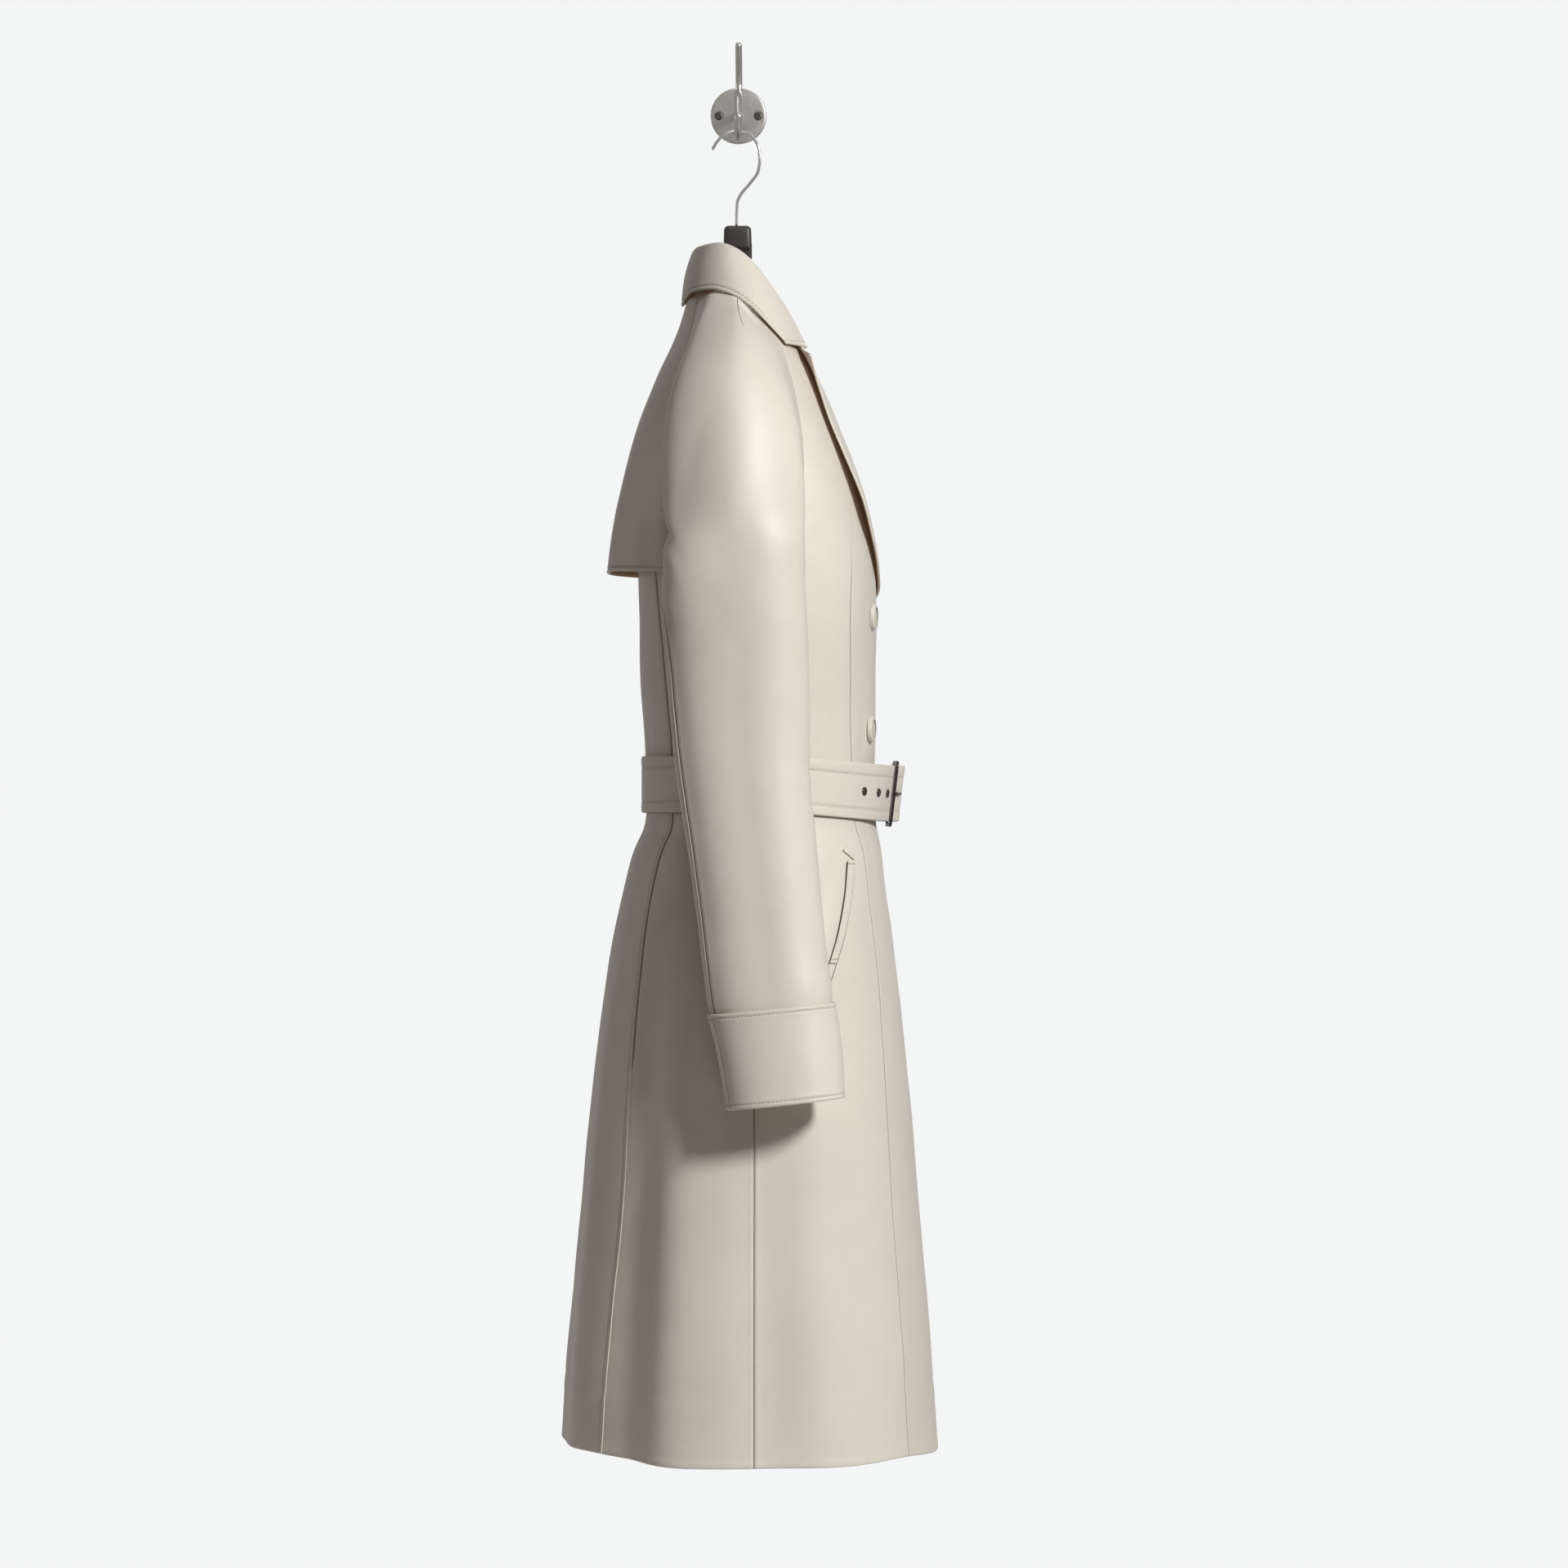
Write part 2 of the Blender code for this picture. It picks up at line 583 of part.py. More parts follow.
def sleeve_ring(table, z, angles, side):
    back, front, middle, half, tilt = (smooth(table["z"], table[n], z)
                                       for n in ("back", "front", "middle", "half", "tilt"))
    turn = np.radians(angles)
    power = 2 / SLEEVE_ROUNDNESS
    across = signed_power(np.cos(turn), power)
    x = (front + back) / 2 + (front - back) / 2 * across
    v = side * (middle + half * signed_power(np.sin(turn), power))
    return np.stack([x, v, z + tilt * across], axis=-1)


def sleeve_trim(z):
    """Half the gap between top and under sleeve: wider where the seams turn towards the underarm."""
    return SLEEVE_TRIM["below" if z < SLEEVE_TRIM["from_z"] else "above"]


def armhole_line(side):
    """The seam of the under sleeve and the body, from the back to the front."""
    points = []
    for table, column in ((RAGLAN_BACK, "back_share"), (RAGLAN_FRONT, "front_share")):
        shares = np.linspace(SHOULDER[column][-1], 1.0, 12)
        line = [body_point(turn_at_x(x, z), z, side) for x, z in (raglan(table, s) for s in shares)]
        points += line if table is RAGLAN_BACK else line[::-1][1:]
    return np.array(points) + np.array([0.0, side * ARMHOLE_OUT, 0.0])


def make_sleeve(side, word):
    count = 14
    rows = []
    for k in range(len(SHOULDER["outer_x"])):
        front_x, front_z = raglan(RAGLAN_FRONT, SHOULDER["front_share"][k])
        back_x, back_z = raglan(RAGLAN_BACK, SHOULDER["back_share"][k])
        start = body_point(turn_at_x(front_x, front_z), front_z, side)
        end = body_point(turn_at_x(back_x, back_z), back_z, side)
        middle = [np.array([SHOULDER[p + "_x"][k], side * SHOULDER[p + "_v"][k], SHOULDER[p + "_z"][k]])
                  for p in ("front", "outer", "back")]
        row = spline([start] + middle + [end], 60)
        rows.append(resample_both(row, count, SHOULDER["trim"][k], SHOULDER["trim"][k]))
    for z in SLEEVE["z"]:
        first = smooth(SLEEVE["z"], SLEEVE["front_seam"], z)
        last = smooth(SLEEVE["z"], SLEEVE["back_seam"], z)
        ring = sleeve_ring(SLEEVE, z, np.linspace(first, last, 61), side)
        rows.append(resample_both(ring, count, sleeve_trim(z), sleeve_trim(z)))
    seam_panel("sleeve_top_" + word, rows, in_sleeve(side))

    rows = [resample_both(armhole_line(side), 8, ARMHOLE_TRIM, ARMHOLE_TRIM)]
    for z in SLEEVE["z"]:
        first = smooth(SLEEVE["z"], SLEEVE["back_seam"], z)
        last = 360 + smooth(SLEEVE["z"], SLEEVE["front_seam"], z)
        ring = sleeve_ring(SLEEVE, z, np.linspace(first, last, 41), side)
        rows.append(resample_both(ring, 8, sleeve_trim(z), sleeve_trim(z)))
    between = rows[0][0] * 0.45 + rows[1][0] * 0.55
    between[1:-1, 1] = side * np.maximum(np.abs(between[1:-1, 1]), UNDERARM_V)
    rows.insert(1, (between, row_tangents(between)))
    seam_panel("sleeve_under_" + word, rows, in_sleeve(side))


def make_cuff(side, word):
    rows = []
    for z in np.linspace(CUFF["z"][0], CUFF["z"][-1], 4):
        ring = sleeve_ring(CUFF, z, np.linspace(0, 360, 121), side)
        rows.append(resample(ring, 23)[:-1])
    panel("cuff_" + word, rows, in_sleeve(side), closed=True)


def flap_point(t, z, side):
    """Points of the storm flap: the back's own points, moved out."""
    points = body_point(t, z, side)
    edge = turn_at_x(*flap_edge(z))
    share = np.clip(np.abs(t) / edge, 0, 1)
    middle = smooth(FLAP["z"], FLAP["lift"], z)
    lift = FLAP_SIDE_LIFT + (middle - FLAP_SIDE_LIFT) * (1 - share**FLAP_SHOULDER)
    top, full = FLAP_FOLDS["grow"]
    hang = np.clip((z - top) / (full - top), 0, 1)
    for v, width, height in zip(FLAP_FOLDS["v"], FLAP_FOLDS["width"], FLAP_FOLDS["height"]):
        lift = lift + height * hang * np.exp(-((points[..., 1] - v) / width) ** 2)
    return points + body_normal(t, z, side) * np.asarray(lift)[..., None]


def flap_edge(z):
    """Where the flap ends on each side, as x and z: along the raglan seam, then straight down."""
    x = smooth(RAGLAN_BACK["z"][4:], RAGLAN_BACK["x"][4:], z)
    return x, z


def make_storm_flap():
    rows = []
    for z in FLAP_LEVELS:
        edge = float(turn_at_x(*flap_edge(float(z))))
        t = np.linspace(-edge, edge, 81)
        points = flap_point(t, np.full(81, float(z)), LEFT)
        rows.append(resample(points, 19, FLAP_TRIM, FLAP_TRIM))
    panel("storm_flap", rows, in_body)


def collar_line(prefix, share):
    """Point of a collar line; share runs from -1 at the right tip to 1 at the left tip."""
    x, v, z = along(COLLAR, (prefix + "_x", prefix + "_v", prefix + "_z"), np.abs(share))
    return np.stack([x, np.sign(share) * v, z], axis=-1)


def from_neck(points):
    """Level direction from the neck's middle to each point."""
    away = (points - np.array([NECK_X, 0.0, 0.0])) * np.array([1.0, 1.0, 0.0])
    return away / np.linalg.norm(away, axis=1, keepdims=True)


def make_collar():
    shares = np.linspace(-1, 1, 27)
    fold = collar_line("fold", shares)
    edge = collar_line("edge", shares)
    rows = []
    for drop in (0.0, 0.12, 0.4, 0.7, 1.0):
        middle = fold * (1 - drop) + edge * drop
        rows.append(middle + from_neck(middle) * COLLAR_BULGE * math.sin(math.pi * drop))
    panel("collar_fall", rows, in_body)

    foot_x, foot_v, foot_z = along(STAND_FOOT, ("x", "v", "z"), np.abs(shares))
    foot = np.stack([foot_x, np.sign(shares) * foot_v, foot_z], axis=-1)
    top = fold - from_neck(fold) * STAND_INSET - np.array([0.0, 0.0, STAND_DROP])
    rows = [top * (1 - s) + foot * s for s in (0.0, 0.5, 1.0)]
    panel("collar_stand", [row[1:-1] for row in rows], in_body)


def lapel_spot(spot, lift, side):
    """Point of a lapel: a place on the body, as v and height, moved out."""
    v, z = spot
    t = turn_at_v(-v, z, True)
    point = body_point(t, z, RIGHT) + body_normal(t, z, RIGHT) * lift
    return point * np.array([1.0, -side, 1.0])


def make_lapel(side, word):
    """The turned part of a front, from the points of the body moved out."""
    fine = np.linspace(0, 1, 400)
    heights = along(LAPEL, ("roll_z",), fine)[0]
    levels = [z for z in FRONT_UPPER[::-1] + SKIRT_LEVELS[::-1] if heights[-1] < z < heights[0]]
    share = np.interp([-z for z in levels], -heights, fine)
    share = np.concatenate([[0.0], share, [1.0]])
    if side == LEFT:
        share = share[share < LAPEL_UNDER_SHARE]
    roll_line = along(LAPEL, ("roll_v", "roll_z"), share)
    edge_line = along(LAPEL, ("edge_v", "edge_z"), share)
    roll_slope = [np.gradient(values) for values in roll_line]
    lift_edge, stand = along(LAPEL, ("lift", "stand"), share)
    rows = []
    for k in range(len(share)):
        roll = np.array([roll_line[0][k], roll_line[1][k]])
        free = np.array([edge_line[0][k], edge_line[1][k]])
        across = free - roll
        width = np.linalg.norm(across)
        across /= width
        ahead = np.array([roll_slope[0][k], roll_slope[1][k]])
        outside = np.array([-ahead[1], ahead[0]]) / np.linalg.norm(ahead)
        start = 0.0
        if side == LEFT:
            for step in np.linspace(0, 1, 101):
                spot = roll + across * width * step
                if -spot[0] >= roll_v(spot[1]) + LAPEL_CLEAR:
                    break
                start = step
        row = []
        for angle in (-40, 10, 55):
            beyond = LAPEL_ROLL * math.cos(math.radians(angle)) + LAPEL_GAP
            lift = LAPEL_ROLL * math.sin(math.radians(angle)) + LAPEL_GAP
            row.append(lapel_spot(roll + across * width * start + outside * beyond, lift, side))
        for s in (0.02, 0.25, 0.5, 0.75, 1.0):
            lift = LAPEL_ROLL + 2 * LAPEL_GAP + (lift_edge[k] - LAPEL_ROLL) * s
            lift += LAPEL_BULGE * math.sin(math.pi * s)
            spot = lapel_spot(roll + across * width * (start + (1 - start) * s), lift, side)
            row.append(spot + np.array([stand[k] * s**LAPEL_STAND_POWER, 0, 0]))
        rows.append(np.array(row))
    panel("lapel_" + word, rows, in_body)


def belt_height(x, share):
    """Height of the belt at x: share 0 is its top edge, 1 its lower edge."""
    back, front = BELT_DROP_X
    return BELT_TOP_BACK - BELT_DROP * np.clip((x - back) / (front - back), 0, 1) - BELT_WIDTH * share


def lean_at(x):
    start, full = BELT_TILT_X
    return np.clip((x - start) / (full - start), 0, 1)


def belt_lean(x, share):
    """How far the belt leans forwards at the front: its top edge out, its lower edge in."""
    return BELT_TILT * (1 - 2 * share) * lean_at(x)


def belt_path():
    """The middle of the belt's outer face, seen from above, from the buckle all round to the tip."""
    z = BELT_RING["z"]
    reach = float(turn_at_v(BELT_RING["from_v"], z, True))
    t = np.linspace(reach - BELT_RING["ease"], BELT_RING["ease"] - reach, 25)
    level = np.full(len(t), z)
    ring = body_point(t, level, LEFT) + body_normal(t, level, LEFT) * (BELT_LIFT + BELT_LEATHER)
    path = list(zip(BELT_UNDER["x"][::-1], BELT_UNDER["v"][::-1]))
    path += [(p[0], p[1]) for p in ring]
    path += zip(BELT_FRONT["x"], BELT_FRONT["v"])
    path = [(x, v, 0.0) for x, v in path]
    return spline(path, 66)


def make_belt():
    rows = []
    for share in (0.0, 1.0):
        line = belt_path()
        line[:, 2] = belt_height(line[:, 0], share)
        line[:, 0] += belt_lean(line[:, 0], share)
        rows.append(line)
    panel("belt", rows, in_body, thickness=BELT_LEATHER)


def belt_spot(v):
    """Point of the belt's outer face on its last stretch over the front, and the way it faces."""
    line = belt_path()[-24:]
    x, ahead = (float(np.interp(spot, line[:, 1], line[:, 0])) for spot in (v, v + 2.0))
    normal = np.array([1.0, (x - ahead) / 2.0, -2 * BELT_TILT / BELT_WIDTH * lean_at(x)])
    return np.array([x, v, belt_height(x, 0.5)]), normal / np.linalg.norm(normal)


def make_buckle():
    """A rectangular frame whose near bar lies over the strap and whose far bar lies under it."""
    half = BUCKLE["height"] / 2
    bar = BUCKLE["bar"]
    lean = BELT_TILT * half / (BELT_WIDTH / 2)
    middle = belt_height(BUCKLE["belt_x"], 0.5)
    turns = ((BUCKLE["near_v"], 1, BUCKLE["near_x"]), (BUCKLE["far_v"], 1, BUCKLE["far_x"]),
             (BUCKLE["far_v"], -1, BUCKLE["far_x"]), (BUCKLE["near_v"], -1, BUCKLE["near_x"]))
    centre_v = (BUCKLE["near_v"] + BUCKLE["far_v"]) / 2
    vertices = []
    for v, sign, x in turns:
        outer = np.array([x + sign * lean, v, middle + sign * half])
        inner = outer + np.array([0.0, math.copysign(bar, centre_v - v), -sign * bar])
        deep = np.array([bar / 2, 0.0, 0.0])
        vertices += [outer + deep, outer - deep, inner - deep, inner + deep]
    faces = []
    for k in range(4):
        for s in range(4):
            n = (k + 1) % 4
            faces.append((k * 4 + s, k * 4 + (s + 1) % 4, n * 4 + (s + 1) % 4, n * 4 + s))
    face_outwards(add_object("buckle_frame", place(vertices), faces, "dark_metal", 30))

    radius, arch = PRONG["radius"], PRONG["arch"]
    spot, normal = belt_spot(PRONG["start_v"])
    start = spot + normal * (SEAM_GAP + radius)
    over_bar = BUCKLE["near_x"] + bar / 2 + radius + 2 * SEAM_GAP
    before, past = (BUCKLE["near_v"] + shift for shift in PRONG["past_bar"])
    path = [start, (over_bar + arch, PRONG["over_v"], start[2]), (over_bar, before, start[2]),
            (over_bar - arch, past, start[2])]
    tube("buckle_prong", spline(path, 7), radius, "dark_metal", sides=8)


def make_eyelets():
    for number, v in enumerate(EYELETS, 1):
        centre, normal = belt_spot(float(v))
        turn = Vector(normal).to_track_quat("Z", "Y").to_matrix()
        rings = []
        inner, outer, thick, edge = (EYELET[key] for key in ("inner", "outer", "thick", "edge"))
        for reach, height in ((inner, 0.0), (outer, 0.0), (outer - edge, thick), (inner, thick)):
            for s in range(12):
                angle = 2 * math.pi * s / 12
                local = (reach * math.cos(angle), reach * math.sin(angle), height + EYELET["gap"])
                rings.append(centre + np.array(turn @ Vector(local)))
        faces = []
        for k in range(4):
            for s in range(12):
                n = (k + 1) % 4
                faces.append((k * 12 + s, k * 12 + (s + 1) % 12, n * 12 + (s + 1) % 12, n * 12 + s))
        face_outwards(add_object("eyelet_%d" % number, place(rings), faces, "dark_metal", 40))


def body_place(v, z, lift):
    """Point and outward direction on the front of the body, in metres."""
    side = RIGHT if v < 0 else LEFT
    t = turn_at_v(abs(v), z, True)
    normal = body_normal(t, z, side)
    return place(body_point(t, z, side) + normal * lift), normal


def make_buttons():
    for word, (v, z) in BUTTONS.items():
        centre, normal = body_place(v, z, SEAM_GAP)
        disc("button_" + word, centre, normal, BUTTON_RADIUS, BUTTON_THICK, "button", edge=1.0)


def pocket_point(x, z, side, lift):
    t = turn_at_x(x, z)
    return body_point(t, z, side) + body_normal(t, z, side) * lift


def make_pocket(side, word):
    x, z = along(POCKET_LINE, ("x", "z"), np.linspace(0, 1, 9))
    rows = []
    for across in (0.0, 0.5, 1.0):
        rows.append(np.array([pocket_point(a + POCKET_WELT * across, b, side, LEATHER + SEAM_GAP)
                              for a, b in zip(x, z)]))
    panel("pocket_welt_" + word, rows, in_body)
    length, width = POCKET_TAB
    slant = math.radians(POCKET_TAB_SLANT)
    centre = (POCKET_LINE["x"][0] + POCKET_TAB_OFFSET[0], POCKET_LINE["z"][0] + POCKET_TAB_OFFSET[1])
    rows = []
    for b in (-width / 2, width / 2):
        row = []
        for a in (-length / 2, 0.0, length / 2):
            px = centre[0] + a * math.cos(slant) - b * math.sin(slant)
            pz = centre[1] + a * math.sin(slant) + b * math.cos(slant)
            row.append(pocket_point(px, pz, side, LEATHER + SEAM_GAP))
        rows.append(np.array(row))
    panel("pocket_tab_" + word, rows, in_body)


def make_hanger():
    path = [(x, 0.0, z) for x, z in zip(HANGER_WIRE["x"], HANGER_WIRE["z"])]
    tube("hanger_wire", spline(path, 34), WIRE_RADIUS, "steel", sides=6)

    rings = []
    for share, soften in ((0.0, 0.8), (0.12, 1.0), (1.0, 1.0)):
        z = HANGER_NECK["top"] + (HANGER_NECK["foot"] - HANGER_NECK["top"]) * share
        half_x = (HANGER_NECK["top_x"] + (HANGER_NECK["foot_x"] - HANGER_NECK["top_x"]) * share) * soften
        half_v = HANGER_NECK["half_v"] * soften
        turn = np.linspace(0, 2 * math.pi, 16, endpoint=False)
        ring = np.stack([HANGER_NECK["x"] + half_x * signed_power(np.cos(turn), 0.5),
                         half_v * signed_power(np.sin(turn), 0.5), np.full(16, z)], axis=-1)
        rings.append(place(ring))
    stack("hanger_neck", rings, "hanger")

    rings = []
    shares = np.linspace(-1, 1, 21)
    v, top, height, depth = along(HANGER, ("v", "top", "height", "depth"), np.abs(shares))
    for k, share in enumerate(shares):
        turn = np.linspace(0, 2 * math.pi, 10, endpoint=False)
        middle_z = top[k] - height[k] / 2
        ring = np.stack([HANGER_X + depth[k] / 2 * signed_power(np.cos(turn), 0.8),
                         np.full(10, np.sign(share) * v[k]),
                         middle_z + height[k] / 2 * signed_power(np.sin(turn), 0.8)], axis=-1)
        rings.append(place(ring))
    stack("hanger_arms", rings, "hanger")


def make_wall_hook():
    middle = (0.0, 0.0, 0.0)
    disc("wall_plate", middle, (0, -1, 0), PLATE_RADIUS, PLATE_THICK, "steel", edge=1.2, sides=40)
    drift = np.linspace(0.0, COAT_X, len(HOOK_ARM["y"]))
    path = list(zip(drift, HOOK_ARM["y"], HOOK_ARM["z"]))
    tube("hook_arm", path, ROD_RADIUS, "steel", sides=10, in_coat=False)
    path = [(COAT_X, y, z) for y, z in zip(UPPER_PRONG["y"], UPPER_PRONG["z"])]
    tube("hook_upper_prong", spline(path, 12), PRONG_ROD_RADIUS, "steel", sides=10, in_coat=False)
    for word, x in (("left", -SCREW_X), ("right", SCREW_X)):
        foot = (x * MM, -(PLATE_THICK + SEAM_GAP) * MM, 0.0)
        disc("screw_" + word, foot, (0, -1, 0), SCREW_RADIUS, SCREW_THICK, "steel")


def main():
    clear_scene()
    make_back_panel()
    for side, word in ((RIGHT, "right"), (LEFT, "left")):
        make_side_panels(side, word)
        make_front(side, word)
        make_sleeve(side, word)
        make_cuff(side, word)
        make_lapel(side, word)
        make_pocket(side, word)
    make_storm_flap()
    make_collar()
    make_belt()
    make_buckle()
    make_eyelets()
    make_buttons()
    make_hanger()
    make_wall_hook()


main()
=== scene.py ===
# Leather trench coat on a wall hook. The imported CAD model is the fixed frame, in metres with +Z up.
# Sizes here are in millimetres in the coat's own frame: x forwards, v from the coat's middle plane
# towards the wearer's left, z up. The function place turns them into the frame's metres.
import math

import bmesh
import bpy
import numpy as np
from mathutils import Matrix, Vector


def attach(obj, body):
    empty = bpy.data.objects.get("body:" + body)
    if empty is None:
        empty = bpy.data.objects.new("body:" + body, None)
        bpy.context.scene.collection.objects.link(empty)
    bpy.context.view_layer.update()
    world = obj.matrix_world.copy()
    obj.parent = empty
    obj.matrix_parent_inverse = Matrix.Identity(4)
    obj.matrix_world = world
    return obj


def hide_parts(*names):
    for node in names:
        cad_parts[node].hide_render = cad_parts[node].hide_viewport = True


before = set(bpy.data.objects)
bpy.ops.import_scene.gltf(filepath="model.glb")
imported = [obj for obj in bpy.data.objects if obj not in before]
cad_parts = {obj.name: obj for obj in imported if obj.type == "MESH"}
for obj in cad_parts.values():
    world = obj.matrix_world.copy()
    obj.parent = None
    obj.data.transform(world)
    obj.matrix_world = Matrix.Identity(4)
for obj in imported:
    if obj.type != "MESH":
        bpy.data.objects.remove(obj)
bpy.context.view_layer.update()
print("frame loaded")

mm = 0.001                      # one millimetre in the frame's metres
coat = {                        # its middle in the frame, the leather's thickness, how square a section is
    "x": 2.0, "y": -270.0, "z": -27.0, "leather": 1.5, "trim": 1.3, "roundness": 2.4,
    "fine": 81, "trimGap": 0.05,        # points in a row before it is spaced, and the gap to its ends
}
rightSide, leftSide = -1, 1     # signs of v; the right side is near the camera
sideWords = {rightSide: "right", leftSide: "left"}


# Numbers to shapes.

def place(points):
    return (np.asarray(points, float) + np.array([coat["x"], coat["y"], coat["z"]])) * mm


def curve(xs, ys, x):           # smooth line through the points, with no overshoot
    xs, ys = np.asarray(xs, float), np.asarray(ys, float)
    if xs[0] > xs[-1]:
        xs, ys = xs[::-1], ys[::-1]
    x = np.clip(np.asarray(x, float), xs[0], xs[-1])
    more = (1,) * (ys.ndim - 1)
    step = np.diff(xs).reshape((-1,) + more)
    slope = np.diff(ys, axis=0) / step
    tangent = np.empty_like(ys)
    tangent[0], tangent[-1] = slope[0], slope[-1]
    a, b = slope[:-1], slope[1:]
    w1, w2 = 2 * step[1:] + step[:-1], step[1:] + 2 * step[:-1]
    same = a * b > 0
    tangent[1:-1] = np.where(same, (w1 + w2) / (w1 / np.where(same, a, 1) + w2 / np.where(same, b, 1)), 0)
    i = np.clip(np.searchsorted(xs, x) - 1, 0, len(xs) - 2)
    width = step[i]
    s = (x - xs[i]).reshape(x.shape + more) / width if more else (x - xs[i]) / width
    return ((2 * s**3 - 3 * s**2 + 1) * ys[i] + (s**3 - 2 * s**2 + s) * width * tangent[i]
            + (-2 * s**3 + 3 * s**2) * ys[i + 1] + (s**3 - s**2) * width * tangent[i + 1])


def along(table, names, share):         # columns of a table at shares 0 to 1 of its rows
    rows = np.linspace(0, 1, len(table[names[0]]))
    return [curve(rows, table[name], share) for name in names]


def signedPower(value, power):
    return np.sign(value) * np.abs(value) ** power


def hump(distance, width):
    return np.exp(-(distance / width) ** 2)


def ramp(value, start, end):
    s = np.clip((value - start) / (end - start), 0, 1)
    return s * s * (3 - 2 * s)


def runOf(points):
    return np.concatenate([[0], np.cumsum(np.linalg.norm(np.diff(points, axis=0), axis=1))])


def pointsAt(points, stops):            # points of a line at distances along it
    run = runOf(points)
    return np.stack([np.interp(stops, run, points[:, k]) for k in range(3)], axis=1)


# how far the lines near an edge are from it, and the shortest line that takes them all at both ends
nearEdge = np.array([0, 0.35, 0.8, 1.4, 2.1, 2.9, 3.7, 4.4, 5.0, 5.7, 6.8, 8.5, 11.0])
nearEdgeShare = 2.6


def stopsFor(length, count, near=(1, 1), trim=coat["trimGap"]):
    # places along a line: close together near an edge with a seam or a fold, even between
    tight = nearEdge * min(1, length / (nearEdgeShare * nearEdge[-1]))
    first = tight if near[0] else tight[:1]
    last = tight if near[1] else tight[:1]
    middle = np.linspace(first[-1], length - last[-1], count)
    stops = np.concatenate([first[:-1], middle, (length - last[::-1])[1:]])
    return np.clip(stops, trim, length - trim)


def loft(rows, step, near=(1, 1), soften=3):
    # surface through rows of equal count, with its distances to the first and the last row
    rows = np.array(rows)
    run = np.concatenate([[0], np.cumsum(np.linalg.norm(np.diff(rows, axis=0), axis=2).mean(axis=1))])
    even = np.linspace(0, run[-1], max(4, int(run[-1] / step)) + 1)
    grid = curve(run, rows, even)
    for _ in range(soften):
        grid[1:-1] = (grid[:-2] + 2 * grid[1:-1] + grid[2:]) / 4
    stops = stopsFor(run[-1], len(even), near)
    grid = curve(even, grid, stops)
    return grid, stops, run[-1] - stops


# The body's form.

body = {
    "z":          (-165, -190, -215, -254, -311, -358, -400, -440, -480, -550, -620, -655, -694,
                   -712, -750, -830, -930, -1060, -1200, -1302),
    "back":       (-44, -50, -57, -72, -88, -95, -98, -98, -97, -96, -91, -90.5, -91.5,
                   -101, -111, -127, -141, -154, -167, -173),
    "front":      (16, 34, 53, 74, 98, 115, 126, 133, 135, 134, 133, 132.5, 133.5,
                   139, 143, 154, 165, 176, 188, 195),
    "half":       (60, 82, 109, 138, 157, 165, 168, 168, 165, 158, 151, 150, 150.5,
                   155, 161, 172, 184, 197, 212, 222),
    "backSeam":   (28, 40, 54, 74, 90, 99, 104, 107, 110, 114, 112, 112, 114,
                   115, 118, 126, 134, 145, 152, 157),
    "frontSeam":  (40, 48, 60, 66, 62, 80, 104, 117, 120, 113, 106, 103, 101,
                   98, 98, 105, 115, 126, 135, 142),
    "sideSeamX": 16.0, "insideX": 10.0,
}
levels = {
    "skirt": (-1302, -1235, -1150, -1060, -970, -880, -800, -745, -714, -694, -655, -620,
              -550, -490, -466, -443, -421, -400),
    "back": tuple(np.linspace(-400, -171, 10)[1:]),
    "front": (-380, -358, -336, -313, -290, -266, -246, -232, -220),
    "riseFrom": -240.0, "rise": 0.55,
}
raglanBack = {
    "x": (16, -10, -32, -46, -54, -59, -60, -56, -50, -45, -41, -36),
    "z": (-400, -398, -388, -372, -352, -320, -290, -262, -235, -212, -190, -171),
}
raglanFront = {
    "x": (16, 36, 52, 61, 64, 62, 59, 54, 48, 42, 36, 29),
    "z": (-400, -397, -388, -374, -352, -325, -298, -272, -250, -232, -214, -198),
}
shoulder = {
    "frontShare": (0.00, 0.09, 0.22, 0.36, 0.50, 0.64, 0.76, 0.86),
    "backShare":  (0.00, 0.08, 0.20, 0.33, 0.47, 0.61, 0.73, 0.84),
    "frontX": (12, 16, 27, 39, 52, 61, 64, 65),
    "frontV": (66, 88, 127, 160, 184, 196, 202, 206),
    "frontZ": (-184, -199, -222, -251, -288, -330, -366, -398),
    "outerX": (-6, -6, -3, -1, 0, -2, -3, -4),
    "outerV": (67, 94, 137, 175, 205, 225, 236, 241),
    "outerZ": (-174, -183.5, -200, -222, -252, -295, -345, -392),
    "backX": (-23, -27, -35, -47, -62, -70, -72, -71),
    "backV": (60, 85, 124, 156, 178, 191, 199, 205),
    "backZ": (-172, -182, -203, -234, -275, -318, -360, -396),
}


def bodyAt(name, z):
    return curve(body["z"], body[name], z)


def bodyPoint(t, z, side):              # t is 0 at the middle of the back and pi at the front
    back, front, half = bodyAt("back", z), bodyAt("front", z), bodyAt("half", z)
    power = 2 / coat["roundness"]
    x = (front + back) / 2 - (front - back) / 2 * signedPower(np.cos(t), power)
    return np.stack([x, side * half * signedPower(np.sin(t), power), z + 0 * x], axis=-1)


def turnAtX(x, z):
    back, front = bodyAt("back", z), bodyAt("front", z)
    share = np.clip((x - (front + back) / 2) / ((front - back) / 2), -1, 1)
    return np.arccos(-signedPower(share, coat["roundness"] / 2))


def turnAtV(v, z, atFront):
    share = np.clip(v / bodyAt("half", z), -1, 1)
    angle = np.arcsin(signedPower(share, coat["roundness"] / 2))
    return math.pi - angle if atFront else angle


